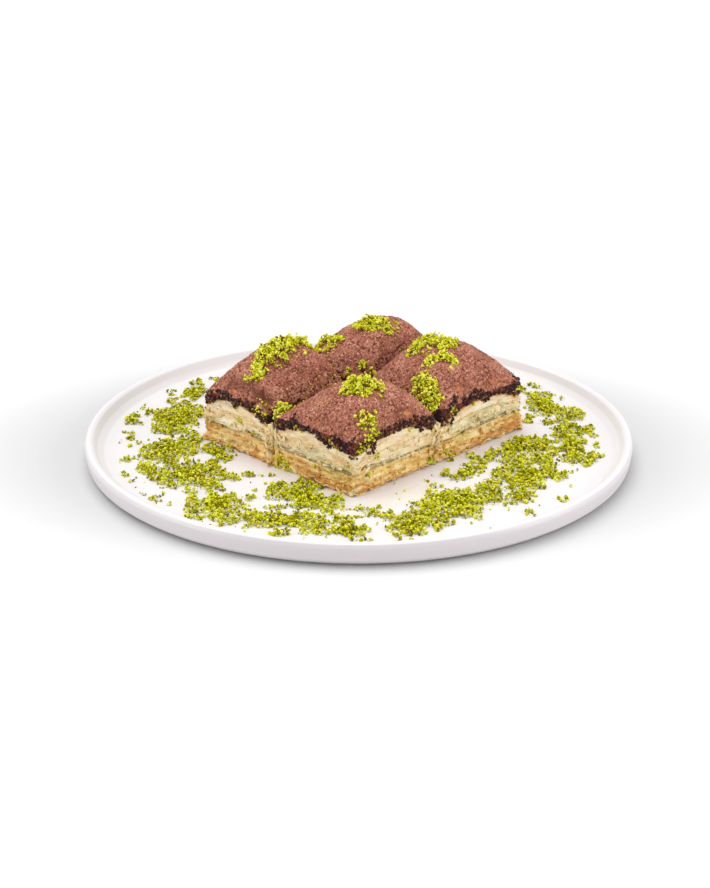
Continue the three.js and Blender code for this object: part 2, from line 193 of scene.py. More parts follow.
# %% Colours and patterns
def mixed(factor, first, second):
    """The colour between two colours"""
    return add_node(factor.tree, "Mix", {0: factor, 6: first, 7: second}, 2, data_type="RGBA")


def shaded(colour, shade):
    """A colour multiplied by a shade"""
    inputs = {0: 1.0, 6: colour, 7: shade}
    return add_node(colour.tree, "Mix", inputs, 2, data_type="RGBA", blend_type="MULTIPLY")


def ramp(value, stops):
    """A colour looked up along a row of (place, colour) stops"""
    looked_up = add_node(value.tree, "ValToRGB", {0: value})
    elements = looked_up.socket.node.color_ramp.elements
    while len(elements) < len(stops):
        elements.new(0.5)
    for element, (place, colour) in zip(elements, stops):
        element.position = place
        element.color = colour
    return looked_up


def mask(value, low, high):
    """0 below low, 1 above high, and a smooth step between them"""
    return add_node(value.tree, "MapRange", {0: value, 1: low, 2: high}, interpolation_type="SMOOTHSTEP")


def painted(tree, name):
    """A number that was painted on the mesh's points"""
    return add_node(tree, "Attribute", {}, "Fac", attribute_name=name)


def place_on(tree, stretch=(1, 1, 1)):
    """The point being shaded, in the object's own metres, stretched along its axes"""
    return add_node(tree, "Mapping", {"Vector": add_node(tree, "TexCoord", {}, "Object"), "Scale": stretch})


def away_from_middle(tree, stretch):
    """How far the point being shaded lies from the middle of the plate, with the axes stretched"""
    return add_node(tree, "VectorMath", {0: place_on(tree, stretch)}, 1, operation="LENGTH")


def noise(vector, scale, detail=3.0, roughness=0.55):
    """Cloudy noise between 0 and 1; the scale counts blotches in a metre"""
    inputs = {"Vector": vector, "Scale": scale, "Detail": detail, "Roughness": roughness}
    return add_node(vector.tree, "TexNoise", inputs)


def cells(vector, scale):
    """The distance to the nearest of many scattered points"""
    return add_node(vector.tree, "TexVoronoi", {"Vector": vector, "Scale": scale}, "Distance")


def bumped(height, distance):
    """A normal that is tilted by a height map, with its depth in metres"""
    return add_node(height.tree, "Bump", {"Height": height, "Distance": distance, "Strength": 1.0})


def new_material(name):
    """An empty node material: returns it with its tree and its one shader"""
    material = bpy.data.materials.new(name)
    material.use_nodes = True
    tree = material.node_tree
    return material, tree, tree.nodes["Principled BSDF"]


def dress(shader, **inputs):
    """Plug a shader's inputs by name; an underscore stands for a space"""
    for name, value in inputs.items():
        plug(shader.inputs[name.replace("_", " ")], value)


print("material helpers ready")

# %% [markdown]
# Dry crumbs, cocoa and ground nuts share one effect: tiny specks, lighter and darker, with pits between them.
# The shade follows their height, so the raised specks are lighter and the pits darker: partly their own grain
# and partly painted light and shade. It is one shader node group, so that each material only says how large
# the specks are and how strong. The group gives a shade to multiply a colour with and a height for a bump.

# %% Speckle node group
def make_speckle_group():
    group = bpy.data.node_groups.new("speckle", "ShaderNodeTree")
    for socket, way, kind in (
        ("Vector", "INPUT", "NodeSocketVector"), ("Specks a metre", "INPUT", "NodeSocketFloat"),
        ("Depth", "INPUT", "NodeSocketFloat"), ("Shade", "OUTPUT", "NodeSocketColor"),
        ("Height", "OUTPUT", "NodeSocketFloat"),
    ):
        group.interface.new_socket(socket, in_out=way, socket_type=kind)
    vector, count, depth = (Signal(socket) for socket in group.nodes.new("NodeGroupInput").outputs[:3])
    clouds = noise(vector, count * 0.45, detail=4.0, roughness=0.7)
    height = (1.0 - cells(vector, count)) * clouds
    dark = 1.0 - depth
    light = depth * 0.35 + 1.0
    # darker in the pits and lighter on the raised specks: partly grain, partly painted shade and light
    shade = mask(height, 0.1, 0.62) * (light - dark) + dark
    outside = group.nodes.new("NodeGroupOutput")
    plug(outside.inputs[0], add_node(group, "CombineColor", {"Red": shade, "Green": shade, "Blue": shade}))
    plug(outside.inputs[1], height)
    return group


SPECKLE = make_speckle_group()


def speckled(vector, count, depth):
    """Place the speckle group in a material: returns its shade and its height"""
    shade = add_node(vector.tree, "Group", {0: vector, 1: count, 2: depth}, node_tree=SPECKLE)
    return shade, Signal(shade.socket.node.outputs[1])


print("node group:", SPECKLE.name)

# %% [markdown]
# Pieces are modelled in millimetres, as the food is measured, and turned into metres at the end.
# Soft random heights come from a small table of random numbers that is read with smooth steps
# between its entries. Along x the table closes on itself, so it can run round a piece of pastry.

# %% Shape helpers
MM = 0.001


def soft_noise(x, y, across, up, seed):
    """Smooth random values between -1 and 1 for x and y from 0 to 1, closed along x"""
    table = np.random.default_rng(seed).uniform(-1, 1, (across, up + 2))
    x_place = np.asarray(x, float) * across
    y_place = np.clip(np.asarray(y, float), 0, 1) * up
    column = np.floor(x_place).astype(int)
    row = np.floor(y_place).astype(int)
    x_step = x_place - column
    y_step = y_place - row
    x_step = x_step * x_step * (3 - 2 * x_step)
    y_step = y_step * y_step * (3 - 2 * y_step)
    left, right = column % across, (column + 1) % across
    low = table[left, row] * (1 - x_step) + table[right, row] * x_step
    high = table[left, row + 1] * (1 - x_step) + table[right, row + 1] * x_step
    return low * (1 - y_step) + high * y_step


def finished(name, mesh, material):
    """Turn a mesh from millimetres to metres and make it a piece that rides on the plate"""
    mesh.transform(Matrix.Scale(MM, 4))
    mesh.polygons.foreach_set("use_smooth", [True] * len(mesh.polygons))
    mesh.materials.append(material)
    piece = bpy.data.objects.new(name, mesh)
    scene.collection.objects.link(piece)
    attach(piece, "root")
    return piece


def mesh_from(bm, name):
    """A mesh out of a bmesh, with its faces pointing out"""
    bmesh.ops.recalc_face_normals(bm, faces=bm.faces)
    mesh = bpy.data.meshes.new(name)
    bm.to_mesh(mesh)
    bm.free()
    return mesh


def points_of(mesh):
    """The places of a mesh's points as rows of x, y and z"""
    flat = np.empty(3 * len(mesh.vertices))
    mesh.vertices.foreach_get("co", flat)
    return flat.reshape(-1, 3)


def move_points(mesh, points):
    mesh.vertices.foreach_set("co", np.asarray(points, float).ravel())
    mesh.update()


def paint_points(mesh, name, values):
    """Paint one number on each point, for a material to read"""
    layer = mesh.attributes.new(name, "FLOAT", "POINT")
    layer.data.foreach_set("value", np.asarray(values, float).ravel())


def triangles_of(mesh):
    return sum(len(face.vertices) - 2 for face in mesh.polygons)


def solid_of(mesh):
    """The points and faces of a mesh, kept in millimetres so that crumbs can be laid on it"""
    return points_of(mesh), [tuple(face.vertices) for face in mesh.polygons]


def arrays_of(bm):
    """The points and triangles of a bmesh as arrays"""
    bm.verts.index_update()
    points = np.array([vert.co for vert in bm.verts])
    faces = np.array([[vert.index for vert in face.verts] for face in bm.faces])
    return points, faces


print("shape helpers ready")

# %% [markdown]
# The table is only a stage: a large pale floor. Near the plate it is painted grey, a painted shadow round the
# plate, and it grows whiter away from the plate, where the softboxes don't reach, so that the background
# stays an even white.

# %% Floor
FLOOR_SIZE = 60000
FLOOR_DROP = 0.2
FLOOR_STRETCH = (1, 1.4, 1)
# the greys near the plate are a painted shadow round it
FLOOR_SHADOW_GREYS = ((0.13, 0.59), (0.16, 0.66), (0.2, 0.77), (0.8, 0.99))

floor_bm = bmesh.new()
bmesh.ops.create_grid(floor_bm, x_segments=1, y_segments=1, size=FLOOR_SIZE / 2)
bmesh.ops.translate(floor_bm, verts=floor_bm.verts, vec=(0, 0, -FLOOR_DROP))
floor_mesh = mesh_from(floor_bm, "floor")
floor_mesh.transform(Matrix.Scale(MM, 4))
floor_material, floor_tree, floor_shader = new_material("studio_floor")
dress(floor_shader, Roughness=0.9, Base_Color=ramp(
    away_from_middle(floor_tree, FLOOR_STRETCH),
    [(away, (grey, grey, grey, 1)) for away, grey in FLOOR_SHADOW_GREYS]))
floor_mesh.materials.append(floor_material)
floor = bpy.data.objects.new("floor", floor_mesh)
scene.collection.objects.link(floor)
print("floor in mm:", FLOOR_SIZE)

# %% [markdown]
# The plate is thrown on a wheel, so it is one outline spun round. The corners of the outline are
# rounded first by a bevel on its points, because glaze never leaves a sharp edge. The same corner
# heights as in the frame keep the flat floor, the low upright wall and the foot where they are.

# %% Plate shape
PLATE_RADIUS = 1000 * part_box("plate")[1].x
PLATE_HEIGHT = 1000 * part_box("plate")[1].z
PLATE_FLOOR = 4.4
FOOT_INNER = 99.5
FOOT_OUTER = 110
PLATE_STEPS = 240
PLATE_ROUNDING = 0.45
PLATE_PROFILE = [
    (FOOT_INNER - 1.5, 1.2),
    (FOOT_INNER, 0),
    (FOOT_OUTER, 0),
    (FOOT_OUTER + 2, 0.9),
    (PLATE_RADIUS - 3.2, 0.9),
    (PLATE_RADIUS - 0.8, 3),
    (PLATE_RADIUS, PLATE_HEIGHT - 2.4),
    (PLATE_RADIUS - 0.7, PLATE_HEIGHT - 0.6),
    (PLATE_RADIUS - 2.4, PLATE_HEIGHT),
    (PLATE_RADIUS - 4.1, PLATE_HEIGHT - 0.8),
    (PLATE_RADIUS - 5.7, PLATE_HEIGHT - 3.8),
    (PLATE_RADIUS - 8.6, PLATE_FLOOR + 0.6),
    (PLATE_RADIUS - 13.5, PLATE_FLOOR),
]


def plate_top(radius):
    """Height of the plate's upper side at a distance from its middle"""
    inner = PLATE_PROFILE[:7:-1]
    return np.interp(radius, [r for r, z in inner], [z for r, z in inner])


plate_bm = bmesh.new()
outline = [(0, 1.2)] + PLATE_PROFILE + [(0, PLATE_FLOOR)]
corners = [plate_bm.verts.new((r, 0, z)) for r, z in outline]
for first, second in zip(corners, corners[1:]):
    plate_bm.edges.new((first, second))
bmesh.ops.bevel(
    plate_bm, geom=corners[1:-1], offset=PLATE_ROUNDING, offset_type="OFFSET",
    segments=3, profile=0.5, affect="VERTICES", material=-1)
bmesh.ops.spin(
    plate_bm, geom=plate_bm.verts[:] + plate_bm.edges[:], cent=(0, 0, 0), axis=(0, 0, 1),
    angle=2 * math.pi, steps=PLATE_STEPS, use_merge=True)
bmesh.ops.remove_doubles(plate_bm, verts=plate_bm.verts, dist=0.001)
plate_mesh = mesh_from(plate_bm, "plate_glazed")
print("plate triangles:", triangles_of(plate_mesh))

# %% [markdown]
# White glaze is never one flat white. It is a little thinner and warmer in broad clouds, and the outer side
# of the wall is painted greyer, as painted shade. It has a faint ripple, and a few pinholes show as dark
# specks on the rim.

# %% Plate glaze
def make_glaze():
    material, tree, shader = new_material("white_glaze")
    where = place_on(tree)
    body = mixed(noise(where, 14.0, detail=2.0), paint(229, 225, 227), paint(235, 231, 233))
    away = away_from_middle(tree, (1, 1, 0))
    # painted shade on the outer side of the wall
    outer_side_shade = mask(away, MM * (PLATE_RADIUS - 1.6), MM * (PLATE_RADIUS - 0.4))
    body = mixed(outer_side_shade, body, paint(214, 208, 211))
    pinholes = mask(cells(where, 55.0), 0.012, 0.026)
    dress(shader, Base_Color=mixed(pinholes, paint(120, 95, 85), body),
          Roughness=noise(where, 60.0) * 0.16 + 0.24,
          Normal=bumped(noise(where, 38.0, detail=1.0), 0.0004))
    return material


plate = finished("plate_glazed", plate_mesh, make_glaze())
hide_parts("plate")

# %% [markdown]
# The block was cut twice into four pieces. Each piece has its own place and a small turn, its
# seed, how high its crust has puffed up, how broad the top of the puff is, where it leans and how
# far its outer corners droop. Places are given along u, to the back right, and v, to the back
# left. These are the same driving sizes as the frame's.

# %% The four pieces
BLOCK_TURN = math.radians(45.4)
CUT_GAP = 1.4
U_FRONT, U_CUT, U_BACK = -49.8, 5.5, 65.8
V_FRONT, V_CUT, V_BACK = -45.8, 7.3, 54.4
CLEARANCE = 0.3
LOWER_HEIGHT = 8.9
LOWER_WAVE = 0.6
FILLING_THICKNESS = 1.5
UPPER_CORNER = 16.8
UPPER_ARCH = 5.7
UPPER_WAVE = 0.4
OUTLINE_WAVE = 0.35
CRUST_FOOT = 24.2
CRUST_FOOT_ARCH = 0.6
PASTRY_CORNER = 3.6
CRUST_CORNER = 6
CUT_SIDE_POWER = 3

PIECES = {
    "front": {"u": (U_FRONT, U_CUT), "v": (V_FRONT, V_CUT), "turn": 0.5, "out": (-1, -1),
              "seed": 11, "crown": 16, "power": 2.3, "lean": (-0.2, -0.4), "droop": 1.5},
    "right": {"u": (U_CUT, U_BACK), "v": (V_FRONT, V_CUT), "turn": -0.5, "out": (1, -1),
              "seed": 23, "crown": 17.4, "power": 2.2, "lean": (0.05, -0.05), "droop": 0.8},
    "left": {"u": (U_FRONT, U_CUT), "v": (V_CUT, V_BACK), "turn": -0.4, "out": (-1, 1),
             "seed": 37, "crown": 18.4, "power": 1.9, "lean": (0.13, 0.13), "droop": 4.2},
    "back": {"u": (U_CUT, U_BACK), "v": (V_CUT, V_BACK), "turn": 0.6, "out": (1, 1),
             "seed": 53, "crown": 16.3, "power": 2.7, "lean": (0.25, -0.2), "droop": 1.6},
}
BLOCK_PLACE = Matrix.Translation((0, 0, PLATE_FLOOR)) @ Matrix.Rotation(BLOCK_TURN, 4, "Z")
BLOCK_COS, BLOCK_SIN = math.cos(BLOCK_TURN), math.sin(BLOCK_TURN)
for piece in PIECES.values():
    piece["half"] = [(high - low - CUT_GAP) / 2 for low, high in (piece["u"], piece["v"])]
    middle = [(low + high) / 2 for low, high in (piece["u"], piece["v"])]
    piece["place"] = (BLOCK_PLACE @ Matrix.Translation((*middle, 0))
                      @ Matrix.Rotation(math.radians(piece["turn"]), 4, "Z"))
print("half sizes in mm:", {name: piece["half"] for name, piece in PIECES.items()})

# %% [markdown]
# Seen from above a piece is a square with rounded corners. Its edge is walked at an even pace, so
# that later the sheets of pastry have points of one density all round. The heights at which the
# layers meet are wavy lines round that edge, so each is a function of the way round.

# %% Outline of a piece
def wave(angle, seed):
    """An uneven line between -1 and 1 that closes over a full turn, the same as in the frame"""
    slow = np.sin(2 * angle + seed)
    middle = np.sin(5 * angle + 2.3 * seed)
    quick = np.sin(9 * angle + 4.1 * seed)
    return (slow + 0.8 * middle + 0.6 * quick) / 2.4


def rounded(x, y, half, corner):
    """Draw points of a sharp rectangle in to its rounded corners; returns them and the way out"""
    inner = np.array(half) - corner
    spot = np.stack([x, y], axis=-1)
    anchor = np.clip(spot, -inner, inner)
    out = spot - anchor
    out = out / np.maximum(np.linalg.norm(out, axis=-1, keepdims=True), 1e-6)
    return anchor + corner * out, out


def walk_outline(half, share):
    """The outline at a share of the way round, from the middle of the +u side"""
    steps = 720
    angles = np.linspace(0, 2 * math.pi, steps + 1)
    square = np.stack([np.cos(angles), np.sin(angles)], axis=-1)
    square /= np.abs(square).max(axis=-1, keepdims=True)
    line, _ = rounded(square[:, 0] * half[0], square[:, 1] * half[1], half, PASTRY_CORNER)
    lengths = np.concatenate([[0], np.cumsum(np.linalg.norm(np.diff(line, axis=0), axis=1))])
    place = np.asarray(share) % 1 * lengths[-1]
    x, y = np.interp(place, lengths, line[:, 0]), np.interp(place, lengths, line[:, 1])
    return np.stack([x, y], axis=-1), rounded(x, y, half, PASTRY_CORNER)[1]


def side_arch(x, y):
    """1 at the middle of each side and 0 at the corners, for places as shares of the half sizes"""
    return 1 - np.minimum(np.abs(x), np.abs(y)) ** 2


def floor_line(angle, arch, piece):
    return np.full_like(angle, CLEARANCE)


def layer_line(angle, arch, piece):
    return LOWER_HEIGHT + LOWER_WAVE * wave(angle, piece["seed"])


def filling_foot(angle, arch, piece):
    return layer_line(angle, arch, piece) + CLEARANCE


def filling_top(angle, arch, piece):
    return filling_foot(angle, arch, piece) + FILLING_THICKNESS


def upper_foot(angle, arch, piece):
    return layer_line(angle, arch, piece) + FILLING_THICKNESS + 2 * CLEARANCE


def upper_edge(angle, arch, piece):
    return UPPER_CORNER + UPPER_ARCH * arch + UPPER_WAVE * wave(angle, piece["seed"] + 3)


def crust_foot(piece, x, y, arch):
    """Height of the crust's rim, lowest at the drooping corners"""
    return CRUST_FOOT + CRUST_FOOT_ARCH * arch - piece["droop"] * (x * y) ** 4


print("outline helpers ready")

# %% [markdown]
# A layer of baklava is a stack of paper-thin sheets. Its blank is a stack of rings, spun from one
# upright line, with three rings for each sheet: one in the gap below it and two on its lip. Then
# each ring is moved to its own uneven height and depth. The sheets stick together in soft, soaked
# bundles that sway up and down, bulge and crease, so the regular steps are small and the slow
# changes large. The upper stack's lowest sheets droop over the filling like a wet lip. The points
# also carry numbers for the colours: tone, green, brown, crease and the height along the sheets.

# %% Stacks of sheets
SHEET_STEPS = 440
RING_PLACES = (0, 0.3, 0.78)
CREASE_WIDTH = 0.085


def spun_blank(ring_count):
    """A closed drum of unit radius whose rings stand at whole heights"""
    bm = bmesh.new()
    heights = [0] + list(range(ring_count)) + [ring_count - 1]
    radii = [0] + [1] * ring_count + [0]
    line = [bm.verts.new((r, 0, z)) for r, z in zip(radii, heights)]
    edges = [bm.edges.new(pair) for pair in zip(line, line[1:])]
    bmesh.ops.spin(
        bm, geom=line + edges, cent=(0, 0, 0), axis=(0, 0, 1), angle=2 * math.pi,
        steps=SHEET_STEPS, use_merge=True)
    bmesh.ops.remove_doubles(bm, verts=bm.verts, dist=1e-4)
    return bm


def spotted(share_round, share_up, spots):
    """A painted strength, from a list of spots (way round, height, width, tall, strength)"""
    paint_there = np.zeros(np.broadcast(share_round, share_up).shape)
    for around, height, width, tall, strength in spots:
        apart = (share_round - around + 0.5) % 1 - 0.5
        near = np.exp(-(apart / width) ** 2 - ((share_up - height) / tall) ** 2)
        paint_there = paint_there + strength * near
    return paint_there


def sheet_stack(name, piece, low, high, recipe, brown_spots, green_spots):
    """A layer between two lines, low and high, made of thin sheets"""
    sheets = recipe["sheets"]
    rings = 3 * sheets + 1
    seed = piece["seed"] + recipe["seed"]
    share = (np.arange(SHEET_STEPS) / SHEET_STEPS)[None, :]
    spot, out = walk_outline(piece["half"], share[0])
    angle = np.arctan2(spot[:, 1], spot[:, 0])
    arch = side_arch(spot[:, 0] / piece["half"][0], spot[:, 1] / piece["half"][1])
    low, high = low(angle, arch, piece), high(angle, arch, piece)
    thick = (high - low)[None, :]

    ring = np.arange(rings)[:, None]
    sheet, part = ring // 3, ring % 3
    start = (sheet + np.choose(part, RING_PLACES)) / sheets + 0 * share
    sway = soft_noise(share, start, 13, 2, seed + 1) + 0.45 * soft_noise(share, start, 38, 3, seed + 7)
    level = np.clip(start + recipe["sway"] / thick * sway * np.sin(math.pi * start), 0, 1)
    lines = np.array([OUTLINE_WAVE * (1 + wave(angle, piece["seed"] + recipe["wave_seed"] + i)) + inset
                      for i, inset in enumerate(recipe["insets"])])
    place_in_table = level * (len(lines) - 1)
    before = np.minimum(np.floor(place_in_table).astype(int), len(lines) - 2)
    part_way = place_in_table - before
    column = np.arange(SHEET_STEPS)[None, :]
    depth = lines[before, column] * (1 - part_way) + lines[before + 1, column] * part_way

    bundle = soft_noise(share, sheet / sheets, 22, max(2, sheets // 3), seed + 2)
    ragged = soft_noise(share, sheet / sheets, 90, sheets, seed + 3)
    crisp = soft_noise(share, sheet / sheets, 200, sheets, seed + 4)
    patchy = np.clip(0.45 + 0.9 * soft_noise(share, start, 26, 4, seed + 5), 0, 1)
    bulge = soft_noise(share, start, 30, 3, seed + 8)
    bent = share + 0.014 * soft_noise(share, start, 60, 4, seed + 9)
    crossing = soft_noise(bent, start, 20, recipe["crease_rows"], seed + 10)
    open_there = np.clip(0.55 + 1.2 * soft_noise(share, start, 12, 2, seed + 11), 0, 1)
    crease = np.exp(-(crossing / CREASE_WIDTH) ** 2) * open_there
    depth = depth + recipe["bundle"] * bundle + 0.5 * recipe["bundle"] * bulge
    depth = depth + recipe["ragged"] * ragged * patchy + 0.07 * crisp
    depth = depth + np.where(part == 0, recipe["gap"] * patchy, 0) + recipe["crease"] * crease

    hang = recipe["lip"] * np.clip(0.4 + 1.3 * soft_noise(share, 0.5, 30, 1, seed + 12), 0, 1)
    lip = np.where(ring > 0, np.clip(1 - start / 0.3, 0, 1) ** 1.5, 0) * hang
    height = low[None, :] + level * thick - lip
    depth = depth - 0.45 * lip
    x = spot[None, :, 0] - out[None, :, 0] * depth
    y = spot[None, :, 1] - out[None, :, 1] * depth

    tone = 0.5 + 0.22 * bundle + 0.18 * ragged + 0.12 * crisp
    tone = tone + 0.3 * soft_noise(share, level, 46, 6, seed + 6) - 0.12 * np.clip(bulge, 0, 1)
    brown = spotted(share, level, brown_spots)
    brown = brown * (1 + 0.8 * ragged) + 0.25 * np.maximum(0, ragged * patchy - 0.4)
    green = 0.4 + 0.5 * soft_noise(share, level, 17, 3, seed + 13) + spotted(share, level, green_spots)

    mesh = mesh_from(spun_blank(rings), name)
    blank = points_of(mesh)
    on_axis = np.hypot(blank[:, 0], blank[:, 1]) < 0.5
    row = np.rint(blank[:, 2]).astype(int)
    col = np.rint(np.arctan2(blank[:, 1], blank[:, 0]) / (2 * math.pi) * SHEET_STEPS).astype(int)
    col %= SHEET_STEPS
    points = np.stack([x[row, col], y[row, col], height[row, col]], axis=-1)
    points[on_axis, :2] = 0
    points[on_axis, 2] = np.where(blank[on_axis, 2] < 1, low.mean(), high.mean())
    move_points(mesh, points)
    # the crease number pushes the creases in and is also read by the material as painted shade in them
    for label, values in (("tone", tone), ("brown", brown), ("green", green), ("crease", crease)):
        paint_points(mesh, label, np.clip(values, 0, 1)[row, col])
    paint_points(mesh, "lift", (start * thick)[row, col])
    mesh.transform(piece["place"])
    return mesh


print("sheet stacks ready")

# %% [markdown]
# Both pastry layers are soaked, but the lower one has baked golden and drinks syrup and milk from the plate,
# while the upper one stays pale. One function makes both finishes: fine streaks that follow the wavy sheets,
# cream beside greenish places where nut and milk have run, painted shade in the creases, a brown skin where
# it was painted, and light that wanders a little inside, as it does in anything soaked with milk.

# %% Pastry finish
TONE_STOPS = (0.32, 0.5, 0.7)
SOAKED_RADIUS = (1.0, 0.75, 0.45)


def on_sheets(tree, stretch):
    """The point being shaded, with its height counted along the wavy sheets and stretched"""
    where = add_node(tree, "TexCoord", {}, "Object")
    x, y = (add_node(tree, "SeparateXYZ", {0: where}, axis) for axis in (0, 1))
    return add_node(tree, "CombineXYZ", {0: x, 1: y, 2: painted(tree, "lift") * (MM * stretch)})


def make_pastry(name, creams, greens, skins, inside, wet):
    """Creams and greens are given dark, middle and light, and skins dark and light"""
    material, tree, shader = new_material(name)
    where = place_on(tree)
    streaks = noise(on_sheets(tree, 4.0), 330.0, detail=6.0, roughness=0.78)
    long_streaks = noise(on_sheets(tree, 9.0), 95.0, detail=4.0, roughness=0.65)
    blotches = noise(where, 170.0)
    tone = painted(tree, "tone") * 0.4 + streaks * 0.34 + long_streaks * 0.28
    cream, green = (ramp(tone, list(zip(TONE_STOPS, colours))) for colours in (creams, greens))
    body = mixed(mask(painted(tree, "green") + blotches * 0.5, 0.88, 1.35), cream, green)
    # painted shade in the creases
    crease_shade = (painted(tree, "crease") * (blotches + 0.3)).clamped()
    body = mixed(mask(crease_shade, 0.3, 1.3), body, greens[0])
    brown = (painted(tree, "brown") * (streaks + 0.5)).clamped()
    skin = mixed(mask(streaks, 0.35, 0.65), *skins)
    dress(shader, Base_Color=mixed(mask(brown, 0.1, 0.7), body, skin),
          Roughness=blotches * 0.45 + wet, Normal=bumped(streaks + noise(where, 1300.0) * 0.3, 0.0003),
          Subsurface_Weight=inside, Subsurface_Radius=SOAKED_RADIUS, Subsurface_Scale=0.0015)
    return material


LOWER_PASTRY = make_pastry(
    "golden_soaked_sheets",
    (paint(212, 158, 74), paint(246, 210, 130), paint(255, 238, 184)),
    (paint(170, 146, 70), paint(226, 202, 118), paint(248, 232, 168)),
    (paint(176, 104, 34), paint(230, 164, 72)), 0.12, 0.25)
UPPER_PASTRY = make_pastry(
    "pale_milky_sheets",
    (paint(222, 184, 130), paint(247, 220, 174), paint(254, 246, 222)),
    (paint(184, 172, 122), paint(230, 214, 168), paint(250, 240, 208)),
    (paint(178, 104, 50), paint(232, 170, 106)), 0.12, 0.22)
print("materials:", LOWER_PASTRY.name, UPPER_PASTRY.name)

# %% [markdown]
# Here the lower and upper layers of all four pieces are stacked. The insets are those of the frame, so that
# each layer keeps its form. The brown spots lie where the real pieces have baked edges and corners, and the
# green ones where nut has been smeared along a side. Low on the front piece's front-left side, brown and
# green spots also make the lower layer darker.

# %% Lower and upper pastry
LOWER_RECIPE = {
    "sheets": 13, "seed": 100, "wave_seed": 0, "insets": (0.8, 0.1, 1.0, 0.3, 1.0, 0.8),
    "sway": 0.75, "bundle": 0.42, "ragged": 0.4, "gap": 0.16, "crease": 0.3, "crease_rows": 3, "lip": 0.0,
}
UPPER_RECIPE = {
    "sheets": 18, "seed": 200, "wave_seed": 13, "insets": (1.5, 0.8, 1.4, 0.7, 1.2, 1.7),
    "sway": 1.25, "bundle": 0.5, "ragged": 0.26, "gap": 0.08, "crease": 0.3, "crease_rows": 3, "lip": 1.7,
}
LOWER_BROWN = {
    # on the front piece the spots at 0.5 and 0.56 also make its front-left side darker low down
    "front": [(0.625, 0.1, 0.06, 0.45, 1.4), (0.56, 0.05, 0.06, 0.22, 1.2), (0.70, 0.04, 0.05, 0.14, 0.5),
              (0.44, 0.75, 0.05, 0.12, 0.7), (0.5, 0.3, 0.05, 0.18, 0.9), (0.81, 0.06, 0.05, 0.12, 0.5)],
    "right": [(0.68, 0.04, 0.06, 0.12, 0.8), (0.76, 0.3, 0.05, 0.15, 0.8), (0.84, 0.45, 0.03, 0.5, 1.0),
              (0.87, 0.1, 0.03, 0.5, 0.7), (0.73, 0.06, 0.03, 0.1, 0.7)],
    "left": [(0.375, 0.75, 0.035, 0.35, 1.3), (0.42, 0.85, 0.03, 0.16, 0.9), (0.5, 0.8, 0.05, 0.16, 0.5),
             (0.47, 0.05, 0.08, 0.15, 0.8), (0.57, 0.3, 0.03, 0.4, 0.6)],
    "back": [(0.12, 0.1, 0.08, 0.3, 0.8), (0.3, 0.1, 0.1, 0.2, 0.6), (0.2, 0.7, 0.05, 0.15, 0.5)],
}
UPPER_BROWN = {
    "front": [(0.41, 1.0, 0.04, 0.08, 0.9), (0.56, 1.0, 0.06, 0.07, 0.8), (0.68, 0.97, 0.05, 0.07, 0.5),
              (0.40, 0.28, 0.025, 0.05, 0.8), (0.385, 0.7, 0.015, 0.3, 0.6)],
    "right": [(0.64, 0.8, 0.014, 0.3, 0.7), (0.72, 0.99, 0.1, 0.06, 0.9), (0.86, 0.9, 0.03, 0.18, 0.8),
              (0.80, 0.97, 0.05, 0.07, 0.7)],
    "left": [(0.385, 0.95, 0.03, 0.18, 1.0), (0.47, 1.0, 0.08, 0.07, 0.9), (0.55, 0.97, 0.04, 0.08, 0.7),
             (0.6, 0.5, 0.02, 0.3, 0.5)],
    "back": [(0.12, 0.95, 0.08, 0.15, 0.8), (0.3, 1.0, 0.1, 0.1, 0.8)],
}
LOWER_GREEN = {
    "front": [(0.56, 0.85, 0.05, 0.25, 0.9)], "right": [(0.7, 0.9, 0.05, 0.2, 0.4)],
    "left": [(0.5, 0.95, 0.06, 0.15, 0.5)], "back": [(0.3, 0.9, 0.05, 0.2, 0.4)],
}
UPPER_GREEN = {
    "front": [(0.475, 0.08, 0.035, 0.16, 1.2), (0.52, 0.3, 0.03, 0.2, 0.5), (0.60, 0.1, 0.03, 0.1, 0.6),
              (0.66, 0.35, 0.03, 0.1, 0.5), (0.73, 0.1, 0.04, 0.12, 0.5), (0.79, 0.25, 0.05, 0.08, 0.6)],
    "right": [(0.84, 0.05, 0.05, 0.2, 1.3), (0.73, 0.3, 0.05, 0.3, 0.5), (0.77, 0.12, 0.03, 0.12, 0.7)],
    "left": [(0.45, 0.06, 0.05, 0.14, 0.9), (0.53, 0.1, 0.03, 0.15, 0.6)],
    "back": [(0.13, 0.08, 0.05, 0.14, 0.7), (0.3, 0.2, 0.05, 0.2, 0.5)],
}
WALL_PARTS = []


def stacked(name, mesh, material, node):
    """Finish one layer, and keep its shape in millimetres so that crumbs can be laid on it"""
    WALL_PARTS.append(solid_of(mesh))
    layer = finished(name, mesh, material)
    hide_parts(node)
    print(layer.name, "triangles:", triangles_of(mesh))


for name, piece in PIECES.items():
    lower = sheet_stack(f"lower_sheets_{name}", piece, floor_line, layer_line,
                        LOWER_RECIPE, LOWER_BROWN[name], LOWER_GREEN[name])
    stacked(f"lower_sheets_{name}", lower, LOWER_PASTRY, f"lower_pastry_{name}")
    upper = sheet_stack(f"upper_sheets_{name}", piece, upper_foot, upper_edge,
                        UPPER_RECIPE, UPPER_BROWN[name], UPPER_GREEN[name])
    stacked(f"upper_sheets_{name}", upper, UPPER_PASTRY, f"upper_pastry_{name}")

# %% [markdown]
# The filling is a thin line of moist ground pistachio between the layers. It is a stack as well,
# with few, very ragged sheets, and its colour is a greyed green with brighter bits of nut. Milk
# has run over it in places, and there it is as pale as the pastry.

# %% Pistachio filling
FILLING_RECIPE = {
    "sheets": 4, "seed": 300, "wave_seed": 7, "insets": (1.3, 1.4), "sway": 0.15,
    "bundle": 0.35, "ragged": 0.4, "gap": 0.25, "crease": 0.2, "crease_rows": 2, "lip": 0.0,
}


